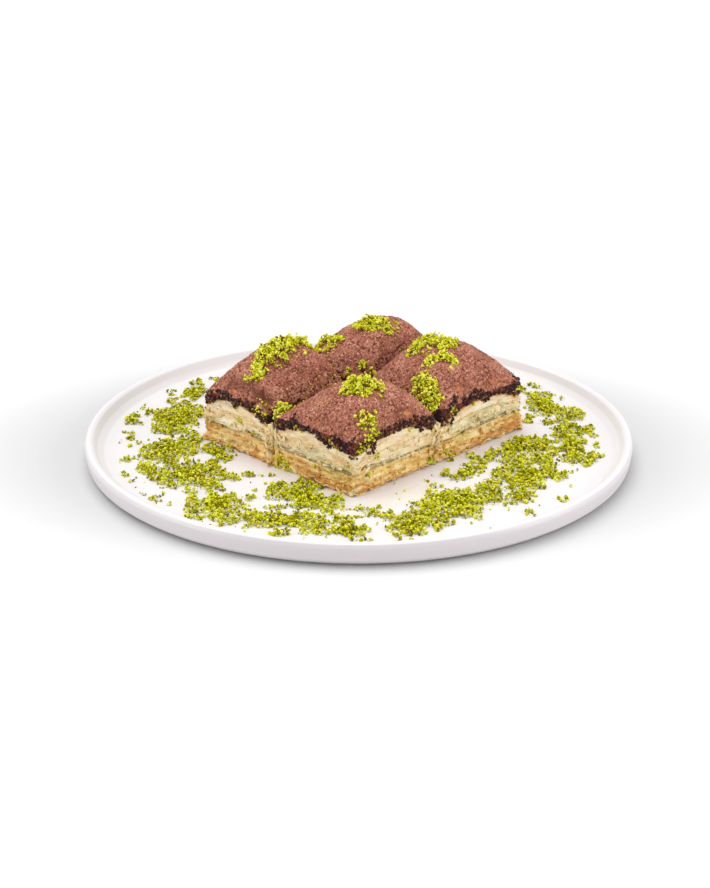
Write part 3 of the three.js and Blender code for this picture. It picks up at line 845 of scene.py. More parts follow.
def make_filling():
    material, tree, shader = new_material("moist_pistachio_filling")
    where = place_on(tree)
    shade, height = speckled(where, 1100, 0.4)
    body = ramp(noise(where, 420.0, roughness=0.7), [
        (0.3, paint(112, 100, 54)), (0.5, paint(176, 160, 104)), (0.72, paint(214, 196, 146))])
    body = mixed(mask(painted(tree, "green"), 0.36, 0.72), paint(222, 196, 146), body)
    body = mixed(mask(noise(where, 260.0, detail=2.0), 0.58, 0.7), body, paint(140, 138, 40))
    dress(shader, Base_Color=shaded(body, shade), Roughness=0.5, Normal=bumped(height, 0.0003))
    return material


FILLING = make_filling()
for name, piece in PIECES.items():
    mesh = sheet_stack(
        f"filling_{name}", piece, filling_foot, filling_top, FILLING_RECIPE, [], UPPER_GREEN[name])
    stacked(f"filling_{name}", mesh, FILLING, f"pistachio_filling_{name}")

# %% [markdown]
# Each crust is the topmost sheets, puffed up in the oven and dusted with cocoa. Its folds lie where this
# plate has them: each is a line between two places, with a width, a depth in millimetres and a darkness of
# painted shade, and a negative depth makes a bulge beside a fold. One line has no depth and only paints shade
# along the outer side of the left dome. A second list says where the baked skin shows bare through the cocoa,
# as lines with a width and a strength.

# %% Folds and bare skin
WRINKLES = {
    "front": [
        (-0.88, -0.13, -0.9, -0.42, 0.02, 0.4, 0.5), (-0.45, -0.68, -0.61, -0.84, 0.05, 0.5, 0.2),
        (-0.3, -0.75, -0.45, -0.91, 0.045, 0.5, 0.2), (-0.17, -0.77, -0.31, -0.92, 0.045, 0.5, 0.25),
        (-0.14, -0.88, 0.13, -0.86, 0.02, 0.6, 0.7), (0.35, -0.78, 0.7, -0.92, 0.04, 0.5, 0.2),
        (0.2, -0.62, 0.5, -0.78, 0.06, 0.5, 0.1), (-0.05, 0.85, 0.6, 0.7, 0.06, 0.6, 0.3)],
    "right": [
        (-0.08, -0.82, 0.26, -0.83, 0.018, 0.6, 0.5), (0.26, -0.83, 0.71, -0.8, 0.018, 0.6, 0.6),
        (-0.75, 0.72, -0.78, 0.35, 0.02, 0.6, 0.6), (-0.78, 0.35, -0.84, 0.07, 0.02, 0.6, 0.6),
        (-0.46, -0.54, -0.45, -0.83, 0.04, 0.9, 0.3), (-0.27, -0.64, -0.64, -0.73, 0.04, 0.8, 0.3),
        (0.0, -0.6, 0.2, -0.74, 0.05, 0.5, 0.1), (0.5, -0.62, 0.62, -0.8, 0.04, 0.5, 0.2)],
    "left": [
        (-0.19, -0.89, 0.12, -0.85, 0.022, 0.9, 0.6), (0.12, -0.85, 0.46, -0.79, 0.025, 1.0, 0.8),
        (-0.19, -0.98, 0.5, -0.93, 0.05, -0.6, 0.0), (-0.58, -0.32, -0.67, -0.5, 0.03, 0.4, 0.1),
        (-0.67, -0.5, -0.8, -0.65, 0.03, 0.6, 0.4), (-0.62, -0.74, -0.34, -0.8, 0.06, -0.6, 0.0),
        (-0.1, -0.45, 0.2, -0.6, 0.06, 0.4, 0.1), (-0.62, 0.2, -0.78, 0.0, 0.05, 0.4, 0.1),
        # this line has no depth: it only paints shade along the outer side of the left dome
        (-0.78, -0.7, -0.8, 0.3, 0.2, 0.0, 0.85)],
    "back": [
        (-0.4, -0.89, -0.07, -0.87, 0.02, 0.8, 0.7), (-0.07, -0.87, 0.26, -0.83, 0.025, 0.9, 0.8),
        (0.26, -0.83, 0.74, -0.76, 0.022, 0.8, 0.7), (-0.6, 0.2, -0.75, -0.2, 0.05, 0.5, 0.2)],
}
BARE_SKIN = {
    "front": [(0.25, -0.92, 0.79, -0.9, 0.07, 0.5), (0.3, -0.97, 0.45, -0.99, 0.05, 0.9)],
    "right": [(-0.46, -0.7, -0.45, -0.92, 0.05, 0.5), (-0.3, -0.8, -0.6, -0.87, 0.05, 0.5),
              (-0.1, -0.92, 0.8, -0.89, 0.045, 0.8), (0.8, -0.75, 0.93, -0.4, 0.05, 0.6)],
    "left": [(-0.95, 0.85, -0.93, 0.1, 0.05, 1.0), (-0.9, 0.1, -0.92, -0.15, 0.03, 0.7)],
    "back": [(0.3, -0.9, 0.8, -0.86, 0.04, 0.7), (0.9, 0.2, 0.93, 0.7, 0.05, 0.8)],
}
print("folds:", {name: len(lines) for name, lines in WRINKLES.items()})

# %% [markdown]
# A fine square grid is drawn over the dome, because spun rings would crowd their points at the
# middle. Its rim is extruded down for the upright edge and closed below. The folds, lumps and
# grains of cocoa are then pushed into the points, so that they show from any side.

# %% Crust shape
CRUST_CELLS = 196
CRUST_SIDE_RINGS = 9
FOLD_SHADE_STRENGTH = 0.55
# how far each kind of unevenness stands out, in millimetres, from the broadest to the finest
BROAD, RIDGES, PLEATS, CRINKLE, FINE, GRAIN = 0.34, 0.42, 0.55, 0.28, 0.17, 0.11


def crust_height(piece, x, y):
    """Height of the puffed crust above the plate's floor, as in the frame"""
    lean_x = x - piece["lean"][0] * (1 - x * x)
    lean_y = y - piece["lean"][1] * (1 - y * y)
    power_x = np.where(lean_x * piece["out"][0] < 0, CUT_SIDE_POWER, piece["power"])
    power_y = np.where(lean_y * piece["out"][1] < 0, CUT_SIDE_POWER, piece["power"])
    puff = (1 - np.abs(lean_x) ** power_x) * (1 - np.abs(lean_y) ** power_y)
    foot = crust_foot(piece, x, y, 2 - x * x - y * y)
    lumps = np.sin(5 * x + piece["seed"]) * np.sin(4 * y + 2 * piece["seed"])
    return foot + piece["crown"] * puff + 0.45 * lumps * (1 - x * x) * (1 - y * y)


def near_line(x, y, x0, y0, x1, y1, width):
    """1 on the straight line between two places, and 0 away from it"""
    along = ((x - x0) * (x1 - x0) + (y - y0) * (y1 - y0)) / ((x1 - x0) ** 2 + (y1 - y0) ** 2)
    along = np.clip(along, 0, 1)
    away = np.hypot(x - x0 - along * (x1 - x0), y - y0 - along * (y1 - y0))
    return np.exp(-(away / width) ** 2)


def crust_blank(name):
    """A flat grid with an upright edge of several rings, closed below"""
    bm = bmesh.new()
    bmesh.ops.create_grid(bm, x_segments=CRUST_CELLS, y_segments=CRUST_CELLS, size=1)
    rim = [edge for edge in bm.edges if edge.is_boundary]
    for _ in range(CRUST_SIDE_RINGS):
        grown = bmesh.ops.extrude_edge_only(bm, edges=rim)["geom"]
        corners = [item for item in grown if isinstance(item, bmesh.types.BMVert)]
        rim = [item for item in grown if isinstance(item, bmesh.types.BMEdge) and item.is_boundary]
        bmesh.ops.translate(bm, verts=corners, vec=(0, 0, -1))
    grown = bmesh.ops.extrude_edge_only(bm, edges=rim)["geom"]
    corners = [item for item in grown if isinstance(item, bmesh.types.BMVert)]
    bmesh.ops.pointmerge(bm, verts=corners, merge_co=(0, 0, -CRUST_SIDE_RINGS - 1))
    return mesh_from(bm, name)


def crust_mesh(name, piece):
    mesh = crust_blank(name)
    blank = points_of(mesh)
    x, y, level = blank[:, 0], blank[:, 1], -blank[:, 2]
    ring = np.maximum(np.abs(x), np.abs(y))
    safe = np.maximum(ring, 1e-6)
    half = piece["half"]
    edge, out = rounded(x / safe * half[0], y / safe * half[1], half, CRUST_CORNER)
    angle = np.arctan2(edge[:, 1], edge[:, 0])
    rim_x, rim_y = edge[:, 0] / half[0], edge[:, 1] / half[1]
    arch = side_arch(rim_x, rim_y)
    share_x, share_y = rim_x * ring, rim_y * ring
    seed = piece["seed"]
    u, v = (share_x + 1) / 2, (share_y + 1) / 2

    height = crust_height(piece, share_x, share_y)
    within = np.clip((1 - ring) / 0.12, 0, 1)
    bent_x = share_x + 0.035 * soft_noise(u, v, 14, 14, seed + 41)
    bent_y = share_y + 0.035 * soft_noise(u, v, 14, 14, seed + 42)
    fold = np.zeros_like(height)
    for *line, depth, darkness in WRINKLES[name]:
        dip = near_line(bent_x, bent_y, *line)
        height = height - depth * dip * (0.3 + 0.7 * within)
        fold = fold + FOLD_SHADE_STRENGTH * darkness * dip ** 2
    skin = np.zeros_like(height)
    for *line, strength in BARE_SKIN[name]:
        skin = skin + strength * near_line(bent_x, bent_y, *line)
    broad = soft_noise(u, v, 5, 5, seed + 31)
    bent_u, bent_v = u + 0.05 * broad, v + 0.05 * soft_noise(u, v, 4, 4, seed + 32)
    ridges = 1 - np.abs(soft_noise(bent_u, bent_v, 9, 9, seed + 33)) * 2.2
    crinkle = soft_noise(bent_u, bent_v, 19, 19, seed + 34)
    fine = soft_noise(u, v, 44, 44, seed + 35)
    grain = soft_noise(u, v, 96, 96, seed + 36)
    height = height + (BROAD * broad + RIDGES * ridges) * within
    around = (angle / (2 * math.pi)) % 1
    pleats = soft_noise(around + 0.02 * broad, ring, 56, 3, seed + 43) * np.clip((ring - 0.5) / 0.3, 0, 1)
    height = height + CRINKLE * crinkle + FINE * fine + GRAIN * grain + PLEATS * pleats * (0.3 + 0.7 * within)
    # the hollows between the ridges and the lowest grains are painted darker as well: painted shade
    fold = fold + 0.35 * np.clip(-0.6 * ridges + 0.1, 0, 1) + 0.35 * np.clip(-grain - 0.35, 0, 1)

    wavy = OUTLINE_WAVE * (1 + wave(angle, seed + 20))
    down = np.clip(level / CRUST_SIDE_RINGS, 0, 1)
    foot = crust_foot(piece, rim_x, rim_y, arch)
    bottom = upper_edge(angle, arch, piece) + CLEARANCE
    side = level > 0.5
    rough = soft_noise(around, down, 190, CRUST_SIDE_RINGS, seed + 37)
    lumpy = soft_noise(around, down, 50, 3, seed + 39)
    inset = np.interp(down, [0, 0.3, 0.8, 1], [0.6, 0.45, 0.4, 1.1]) + wavy + 0.3 * rough + 0.3 * lumpy
    inset = np.where(side, inset, (0.6 + wavy) * np.clip((ring - 0.86) / 0.14, 0, 1))
    height = np.where(side, foot + (bottom - foot) * down, height)
    points = np.stack([
        edge[:, 0] * ring - out[:, 0] * inset, edge[:, 1] * ring - out[:, 1] * inset, height], axis=-1)
    closing = level > CRUST_SIDE_RINGS + 0.5
    points[closing] = (0, 0, UPPER_CORNER + UPPER_ARCH + CLEARANCE)
    move_points(mesh, points)
    paint_points(mesh, "fold", np.clip(fold, 0, 1))
    paint_points(mesh, "skin", np.clip(skin, 0, 1))
    paint_points(mesh, "foot", np.clip((ring - 0.9) / 0.1, 0, 1) + side)
    mesh.transform(piece["place"])
    return mesh


print("crust shape ready")

# %% [markdown]
# Cocoa powder lies thick and matte on the dome, with bright grains and dark pits side by side. In the folds
# and hollows it is painted darker, as painted shade. Where it has been rubbed off, the orange brown, slightly
# glossy skin of the pastry shows through in streaks. The upright edge is dark chocolate and baked brown skin
# in patches.

# %% Cocoa finish
def make_cocoa():
    material, tree, shader = new_material("cocoa_dusted_crust")
    where = place_on(tree)
    shade, height = speckled(where, 1400, 0.46)
    clouds = noise(where, 130.0, detail=4.0, roughness=0.6)
    freckles = noise(where, 900.0, detail=2.0, roughness=0.7)
    dust = ramp(clouds, [
        (0.3, paint(158, 88, 65)), (0.5, paint(194, 120, 95)), (0.7, paint(226, 154, 127))])
    dust = mixed(mask(freckles, 0.55, 0.7), dust, paint(244, 188, 160))
    dust = mixed(mask(freckles, 0.48, 0.35), dust, paint(106, 52, 38))
    # painted shade in the folds and hollows
    fold_shade = (painted(tree, "fold") * (clouds + 0.55)).clamped()
    dust = mixed(mask(fold_shade, 0.08, 0.85), shaded(dust, shade), paint(90, 42, 28))
    rubbed = noise(place_on(tree, (1, 1, 2)), 260.0, detail=4.0, roughness=0.6)
    bare = mask(painted(tree, "skin") * rubbed, 0.17, 0.52)
    skin = mixed(mask(rubbed, 0.4, 0.62), paint(146, 76, 46), paint(196, 120, 80))
    baked = mixed(mask(clouds, 0.42, 0.6), paint(54, 30, 32), paint(128, 68, 50))
    edge = mask(painted(tree, "foot") + rubbed * 0.5, 1.15, 1.4)
    dress(shader, Base_Color=mixed(edge, mixed(bare, dust, skin), baked), Roughness=0.9 - bare * 0.5,
          Specular_IOR_Level=0.3, Normal=bumped(height, 0.0003))
    return material


COCOA = make_cocoa()
CRUST_PARTS = []
for name, piece in PIECES.items():
    mesh = crust_mesh(name, piece)
    CRUST_PARTS.append(solid_of(mesh))
    crust = finished(f"crust_{name}", mesh, COCOA)
    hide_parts(f"cocoa_top_{name}")
    print(crust.name, "triangles:", triangles_of(mesh))

# %% [markdown]
# Crumbs and chopped nuts are small broken lumps. A dozen lumps of nut and ten of chocolate are
# made once, each the convex hull of a few random points, and then thousands of turned and scaled
# copies are joined into one mesh. That keeps them real geometry with few faces each, and every
# copy carries a tint of its own for the material.

# %% Broken lumps and their copies
def lump(seed, corner_count, flatness):
    """The points and triangles of one broken lump about 2 wide"""
    rng = np.random.default_rng(seed)
    bm = bmesh.new()
    for direction in rng.normal(size=(corner_count, 3)):
        place = Vector(direction).normalized() * rng.uniform(0.8, 1.1)
        bm.verts.new((place.x, place.y * rng.uniform(0.75, 1), place.z * flatness))
    hull = bmesh.ops.convex_hull(bm, input=bm.verts)
    spare = {item for item in hull["geom_interior"] + hull["geom_unused"]
             if isinstance(item, bmesh.types.BMVert)}
    bmesh.ops.delete(bm, geom=list(spare), context="VERTS")
    bmesh.ops.triangulate(bm, faces=bm.faces)
    bmesh.ops.recalc_face_normals(bm, faces=bm.faces)
    points, faces = arrays_of(bm)
    bm.free()
    return points, faces


def drawn(rng, count, low, high, power=1.0):
    """Random numbers between two values; a power above 1 crowds them at the low one"""
    return low + (high - low) * rng.random(count) ** power


def random_turns(count, rng):
    """Rotation matrices that turn each copy at random"""
    w, x, y, z = rng.normal(size=(count, 4)).T
    size = np.sqrt(w * w + x * x + y * y + z * z)
    w, x, y, z = w / size, x / size, y / size, z / size
    rows = [
        [1 - 2 * (y * y + z * z), 2 * (x * y - w * z), 2 * (x * z + w * y)],
        [2 * (x * y + w * z), 1 - 2 * (x * x + z * z), 2 * (y * z - w * x)],
        [2 * (x * z - w * y), 2 * (y * z + w * x), 1 - 2 * (x * x + y * y)],
    ]
    return np.array(rows).transpose(2, 0, 1)


def joined_copies(name, lumps, places, sizes, tints, seed, core=None, turns=None):
    """One mesh of many turned copies, with a core under them if one is given"""
    rng = np.random.default_rng(seed)
    turns = random_turns(len(places), rng) if turns is None else turns
    kinds = rng.integers(0, len(lumps), len(places))
    all_points, all_faces, all_tints = [], [], []
    start = 0
    if core is not None:
        all_points.append(core[0])
        all_faces.append(core[1])
        all_tints.append(np.full(len(core[0]), -1.0))
        start = len(core[0])
    for kind, (points, faces) in enumerate(lumps):
        chosen = np.flatnonzero(kinds == kind)
        copies = np.einsum("nij,pj->npi", turns[chosen], points) * sizes[chosen, None, None]
        copies = copies + places[chosen, None, :]
        shifts = start + len(points) * np.arange(len(chosen))
        all_points.append(copies.reshape(-1, 3))
        all_faces.append((faces[None] + shifts[:, None, None]).reshape(-1, 3))
        all_tints.append(np.repeat(tints[chosen], len(points)))
        start += len(points) * len(chosen)
    mesh = bpy.data.meshes.new(name)
    mesh.from_pydata(np.concatenate(all_points).tolist(), [], np.concatenate(all_faces).tolist())
    paint_points(mesh, "tint", np.concatenate(all_tints))
    return mesh


NUT_LUMPS = [lump(400 + i, 10, 0.8) for i in range(12)]
CHOCOLATE_LUMPS = [lump(500 + i, 11, 0.9) for i in range(10)]
print("triangles of a lump:", [len(faces) for _, faces in NUT_LUMPS])

# %% [markdown]
# Ground pistachio is a bright yellow green, darker where bits of skin are left, and a few pieces
# are dull yellow or red brown. Chocolate crumbs are nearly black with a reddish cast and shine
# softly, with some red brown ones among them.

# %% Nut and chocolate finishes
def make_nut():
    material, tree, shader = new_material("ground_pistachio")
    shade, _ = speckled(place_on(tree), 1700, 0.14)
    tint = painted(tree, "tint")
    body = ramp(tint, [
        (0.0, paint(150, 92, 42)), (0.015, paint(168, 112, 48)), (0.02, paint(116, 112, 2)),
        (0.3, paint(184, 182, 6)), (0.6, paint(224, 223, 34)), (0.92, paint(247, 247, 104)),
        (0.95, paint(246, 218, 110)), (1.0, paint(248, 224, 124))])
    body = mixed(mask(tint, -0.5, -0.2), paint(146, 140, 14), body)
    dress(shader, Base_Color=shaded(body, shade), Roughness=0.8, Specular_IOR_Level=0.06,
          Subsurface_Weight=0.15, Subsurface_Radius=(0.8, 1.0, 0.3), Subsurface_Scale=0.0005)
    return material


def make_chocolate():
    material, tree, shader = new_material("chocolate_crumbs")
    shade, height = speckled(place_on(tree), 1800, 0.35)
    body = ramp(painted(tree, "tint"), [
        (0.0, paint(44, 20, 22)), (0.45, paint(80, 38, 34)), (0.7, paint(128, 66, 46)),
        (0.88, paint(176, 102, 68)), (1.0, paint(208, 148, 106))])
    dress(shader, Base_Color=shaded(body, shade), Roughness=0.45, Specular_IOR_Level=0.3,
          Normal=bumped(height, 0.00015))
    return material


NUT = make_nut()
CHOCOLATE = make_chocolate()
print("materials:", NUT.name, CHOCOLATE.name)

# %% [markdown]
# Crumbs and grains are laid on the food by rays, as if they had been dropped or pressed on it. One
# search tree holds the walls and the crusts of all pieces, so that a ray stops at the first
# surface that it meets, and a second one holds the crusts alone.

# %% Trees for laying crumbs
def joined_tree(parts):
    """One search tree over several meshes, in millimetres"""
    points, faces = [], []
    for part_points, part_faces in parts:
        start = len(points)
        points += [Vector(point) for point in part_points]
        faces += [tuple(start + index for index in face) for face in part_faces]
    return BVHTree.FromPolygons(points, faces)


CRUST_TREE = joined_tree(CRUST_PARTS)
FOOD_TREE = joined_tree(CRUST_PARTS + WALL_PARTS)
DOWN = Vector((0, 0, -1))
HIGH_UP = 70
FAR_OUT = 9
FACING_OUT = 0.3


def below(tree, x, y):
    """The height of what lies under a place seen from above, or None"""
    hit = tree.ray_cast(Vector((x, y, HIGH_UP)), DOWN)[0]
    return None if hit is None else hit.z


def against_wall(piece, share, height, sink):
    """Places on the outer side of a piece, found by level rays from outside, in millimetres"""
    spot, out = walk_outline(piece["half"], share)
    turn = np.array(piece["place"])[:3, :3]
    shift = np.array(piece["place"])[:3, 3]
    starts = np.column_stack([spot + FAR_OUT * out, height]) @ turn.T + shift
    ways = np.column_stack([-out, 0 * height]) @ turn.T
    places, found = [], []
    for index, (start, way) in enumerate(zip(starts, ways)):
        hit = FOOD_TREE.ray_cast(Vector(start), Vector(way), 2 * FAR_OUT)[0]
        if hit is not None:
            places.append(np.array(hit) + way * sink[index])
            found.append(index)
    return np.array(places).reshape(-1, 3), np.array(found, int)


def outer_shares(rng, count, piece):
    """Random shares of the way round a piece, kept where its outline faces away from the cuts"""
    share = rng.random(count)
    _, out = walk_outline(piece["half"], share)
    return share[(out * piece["out"] > FACING_OUT).any(axis=1)]


print("search trees ready")

# %% [markdown]
# Cut sheets never end in a clean line. Torn edges stick out of the sides, the knife has smeared
# flaps of sheet over them, and folded bits bridge the notches where two pieces were cut apart.
# Each is a copy of a thin bent scrap with a closed edge, turned to lie as its kind does.

# %% Torn flakes
def flake_shape(seed):
    """Points and triangles of one thin bent scrap, about 2 long and 1 wide"""
    rng = np.random.default_rng(seed)
    bm = bmesh.new()
    bmesh.ops.create_grid(bm, x_segments=3, y_segments=1, size=1)
    bend, twist = rng.uniform(-0.35, 0.35, 2)
    for vert in bm.verts:
        x, y = vert.co.x, vert.co.y
        vert.co = (x + rng.uniform(-0.15, 0.15), 0.42 * y * (1 - 0.4 * x * x) + rng.uniform(-0.1, 0.1),
                   bend * x * x + twist * x * y)
    bmesh.ops.solidify(bm, geom=bm.faces[:], thickness=0.13)
    bmesh.ops.triangulate(bm, faces=bm.faces)
    bmesh.ops.recalc_face_normals(bm, faces=bm.faces)
    points, faces = arrays_of(bm)
    open_edges = sum(not edge.is_manifold for edge in bm.edges)
    bm.free()
    return points, faces, open_edges


def make_flake_finish():
    material, tree, shader = new_material("torn_sheets")
    streaks = noise(place_on(tree), 500.0, detail=4.0)
    body = ramp(painted(tree, "tint"), [
        (0.0, paint(251, 238, 202)), (0.4, paint(248, 218, 154)), (0.65, paint(240, 190, 98)),
        (0.86, paint(210, 136, 50))])
    dress(shader, Base_Color=mixed(streaks * 0.3, body, paint(228, 190, 124)),
          Roughness=streaks * 0.4 + 0.25, Normal=bumped(streaks, 0.0001),
          Subsurface_Weight=0.2, Subsurface_Radius=SOAKED_RADIUS, Subsurface_Scale=0.001)
    return material


flake_shapes = [flake_shape(560 + i) for i in range(10)]
print("flake shapes:", len(flake_shapes), "open edges:", sum(kind[2] for kind in flake_shapes))

# %% [markdown]
# Each row below is one kind of flake, with how many there are, how high they lie and how long they
# are. Level rays from outside find their places on the sides, and they turn with the way that the
# side faces there. The last ones bridge the two cuts that open towards the viewer.

# %% Laying the flakes
FLAKE_KINDS = [
    # kind, count, lowest, highest, how they crowd low down, shortest, longest, how many are short
    ("edge", 260, 0.5, 17.0, 1.25, 0.7, 2.0, 1.8),
    ("flap", 300, 1.0, 16.0, 1.0, 1.0, 2.9, 1.0),
    ("edge", 90, 0.3, 1.8, 1.0, 1.0, 2.4, 1.0),
]
UPRIGHT_FLAKES = [
    # piece, share of the way round, spread in millimetres, lowest and highest, count
    ("left", 0.622, 2.4, 3, 17, 26), ("front", 0.380, 2.4, 2, 17, 22), ("right", 0.628, 1.8, 2, 17, 5),
    ("front", 0.872, 1.8, 2, 17, 5), ("left", 0.378, 1.6, 6, 12, 14),
]
UPRIGHT_LENGTHS = (1.4, 3.0)
BRIDGING_FLAKES = [
    # place of a cut along u and v, the way in as an angle, count, depths in the cut
    (U_FRONT + 0.7, V_CUT, 0, 90, (0.2, 1.4)), (U_CUT, V_FRONT + 0.7, math.pi / 2, 60, (1.0, 2.4)),
]
BRIDGING_HEIGHTS = (1.2, 16.5)
BRIDGING_LENGTHS = (1.6, 3.0)


def about(axis, angle):
    """A turn about one axis"""
    return Matrix.Rotation(angle, 3, axis)


def flake_turn(piece, share, kind, rng):
    """The turn of a flake on a side: an edge that sticks out, a standing edge or a flap on the side"""
    _, out = walk_outline(piece["half"], np.array([share]))
    facing = math.atan2(out[0, 1], out[0, 0])
    if kind == "edge":
        lean = about("X", rng.normal(0, 0.5)) @ about("Y", rng.normal(0, 0.22))
    elif kind == "standing":
        lean = about("Y", math.pi / 2 + rng.normal(0, 0.3)) @ about("X", rng.normal(0, 0.6))
    else:
        lean = (about("Y", rng.normal(0, 0.16)) @ about("X", math.pi / 2 + rng.normal(0, 0.16))
                @ about("Z", rng.uniform(0.2, 2.9)))
    turn = about("Z", facing + math.pi / 2 + rng.normal(0, 0.15)) @ lean
    return np.array(piece["place"].to_3x3() @ turn)


flake_rng = np.random.default_rng(970)
flake_places, flake_turns, flake_sizes, flake_tints = [], [], [], []


def add_flakes(piece, shares, heights, sizes, kind):
    """Lay flakes on the outer side of a piece"""
    if kind == "flap":
        sink = drawn(flake_rng, len(shares), 0.05, 0.3)
    else:
        sink = -drawn(flake_rng, len(shares), 0, 0.28)
    places, found = against_wall(piece, shares, heights, sink)
    for place, index in zip(places, found):
        flake_places.append(place)
        flake_turns.append(flake_turn(piece, shares[index], kind, flake_rng))
        flake_sizes.append(sizes[index])
        lower = heights[index] < LOWER_HEIGHT
        flake_tints.append(np.clip(flake_rng.normal(0.6 if lower else 0.16, 0.18), 0, 0.9))


for piece in PIECES.values():
    for kind, count, lowest, highest, crowding, shortest, longest, shortness in FLAKE_KINDS:
        shares = outer_shares(flake_rng, count, piece)
        heights = drawn(flake_rng, len(shares), lowest, highest, crowding)
        sizes = drawn(flake_rng, len(shares), shortest, longest, shortness)
        add_flakes(piece, shares, heights, sizes, kind)
for name, share, spread, lowest, highest, count in UPRIGHT_FLAKES:
    piece = PIECES[name]
    shares = share + flake_rng.normal(0, 0.5 * spread, count) / (4 * sum(piece["half"]))
    heights = drawn(flake_rng, count, lowest, highest)
    add_flakes(piece, shares, heights, drawn(flake_rng, count, *UPRIGHT_LENGTHS), "standing")
for cut_u, cut_v, facing, count, depths in BRIDGING_FLAKES:
    inwards = Vector((math.cos(facing), math.sin(facing), 0))
    for height in drawn(flake_rng, count, *BRIDGING_HEIGHTS):
        aside = flake_rng.normal(0, 0.8)
        spot = Vector((cut_u, cut_v, height)) + flake_rng.uniform(*depths) * inwards
        spot = spot + aside * Vector((-inwards.y, inwards.x, 0))
        lean = (about("Z", flake_rng.normal(0.4 * aside, 0.3))
                @ about("Y", flake_rng.normal(-math.pi / 2, 0.45)) @ about("Z", flake_rng.normal(0, 0.35)))
        flake_places.append(np.array(BLOCK_PLACE @ spot))
        flake_turns.append(np.array(BLOCK_PLACE.to_3x3() @ about("Z", facing) @ lean))
        flake_sizes.append(flake_rng.uniform(*BRIDGING_LENGTHS))
        flake_tints.append(np.clip(flake_rng.normal(0.5 if height < LOWER_HEIGHT else 0.25, 0.2), 0, 1))

flake_mesh = joined_copies(
    "torn_flakes", [kind[:2] for kind in flake_shapes], np.array(flake_places), np.array(flake_sizes),
    np.array(flake_tints), 971, None, np.array(flake_turns))
finished("torn_flakes", flake_mesh, make_flake_finish())
print("flakes:", len(flake_places), "triangles:", triangles_of(flake_mesh))

# %% [markdown]
# Chocolate crumbs crowd the upright edge of each crust in clumps. In some places they climb the
# foot of the dome, most of all at the corner towards the viewer, and in others they hang down
# over the pale pastry. A few have rolled down the walls, and the valleys between the pieces are
# lined with them as well.

# %% Chocolate crumbs
CRUMBS_A_PIECE = 3000
CRUMB_RADII = (0.35, 1.0)
CRUMB_HANG = 2.3
CRUMB_CLIMB = 2.2
CORNER_CLIMB = {"front": 5.5, "left": 2.5, "right": 1.5, "back": 1.5}
VALLEY_CRUMBS = 900
VALLEY_REACH = 4.2
VALLEY_END = 4
VALLEY_CRUMB_RADII = (0.35, 0.85)
VALLEY_TOP = 7.5
FALLEN_CRUMBS = 60
FALLEN_RADII = (0.2, 0.48)
FALLEN_HEIGHTS = (16.5, 3.5)


def edge_crumbs(name, piece, rng):
    """Places and sizes of the crumbs round one crust"""
    share = outer_shares(rng, CRUMBS_A_PIECE, piece)
    spot, _ = walk_outline(piece["half"], share)
    angle = np.arctan2(spot[:, 1], spot[:, 0])
    x, y = spot[:, 0] / piece["half"][0], spot[:, 1] / piece["half"][1]
    arch = side_arch(x, y)
    seed = piece["seed"]
    hang = CRUMB_HANG * np.clip(0.3 + 1.6 * soft_noise(share, 0.5, 34, 1, seed + 61), 0, 1.5)
    climb = CRUMB_CLIMB * np.clip(0.4 + 1.5 * soft_noise(share, 0.5, 30, 1, seed + 62), 0, 1.5)
    outer_corner = np.clip(x * piece["out"][0], 0, 1) * np.clip(y * piece["out"][1], 0, 1)
    climb = climb + CORNER_CLIMB[name] * outer_corner ** 10
    low = upper_edge(angle, arch, piece) - hang
    high = crust_foot(piece, x, y, arch) + climb
    up = rng.random(len(share))
    height = low + up * (high - low)
    crowd = 1.25 * soft_noise(share, height / 32, 75, 20, seed + 63) + 0.55 * np.sin(math.pi * up ** 0.8)
    kept = crowd > rng.uniform(-0.38, 0.34, len(share))
    share, height = share[kept], height[kept]
    sizes = drawn(rng, len(share), *CRUMB_RADII, 1.5)
    places, found = against_wall(piece, share, height, rng.uniform(-0.7, 0.1, len(share)) * sizes)
    return places, sizes[found]


def valley_lines(rng, count, reach):
    """Random places beside the two cuts of the block, in the plate's millimetres"""
    along_u = rng.random(count) < 0.5
    anywhere_u = rng.uniform(U_FRONT + VALLEY_END, U_BACK - VALLEY_END, count)
    u = np.where(along_u, anywhere_u, U_CUT + rng.normal(0, reach / 2, count))
    beside_v = V_CUT + rng.normal(0, reach / 2, count)
    v = np.where(along_u, beside_v, rng.uniform(V_FRONT + VALLEY_END, V_BACK - VALLEY_END, count))
    return u * BLOCK_COS - v * BLOCK_SIN, u * BLOCK_SIN + v * BLOCK_COS


crumb_rng = np.random.default_rng(600)
crumb_spots, crumb_sizes = [], []
for name, piece in PIECES.items():
    places, sizes = edge_crumbs(name, piece, crumb_rng)
    crumb_spots.append(places)
    crumb_sizes.append(sizes)
    fallen_share = outer_shares(crumb_rng, FALLEN_CRUMBS, piece)
    fallen_height = drawn(crumb_rng, len(fallen_share), *FALLEN_HEIGHTS, 2.2)
    places, found = against_wall(piece, fallen_share, fallen_height, 0 * fallen_share)
    crumb_spots.append(places)
    crumb_sizes.append(crumb_rng.uniform(*FALLEN_RADII, len(found)))
for x, y in zip(*valley_lines(crumb_rng, VALLEY_CRUMBS, VALLEY_REACH)):
    z = below(CRUST_TREE, x, y)
    if z is not None and z < PLATE_FLOOR + CRUST_FOOT + VALLEY_TOP:
        crumb_spots.append(np.array([[x, y, z + 0.2]]))
        crumb_sizes.append(crumb_rng.uniform(*VALLEY_CRUMB_RADII, 1))
crumb_spots = np.concatenate(crumb_spots)
crumb_sizes = np.concatenate(crumb_sizes)
crumb_mesh = joined_copies(
    "chocolate_crumbs", CHOCOLATE_LUMPS, crumb_spots, crumb_sizes,
    crumb_rng.random(len(crumb_spots)) ** 1.7, 601)
finished("chocolate_crumbs", crumb_mesh, CHOCOLATE)
print("chocolate crumbs:", len(crumb_spots), "triangles:", triangles_of(crumb_mesh))

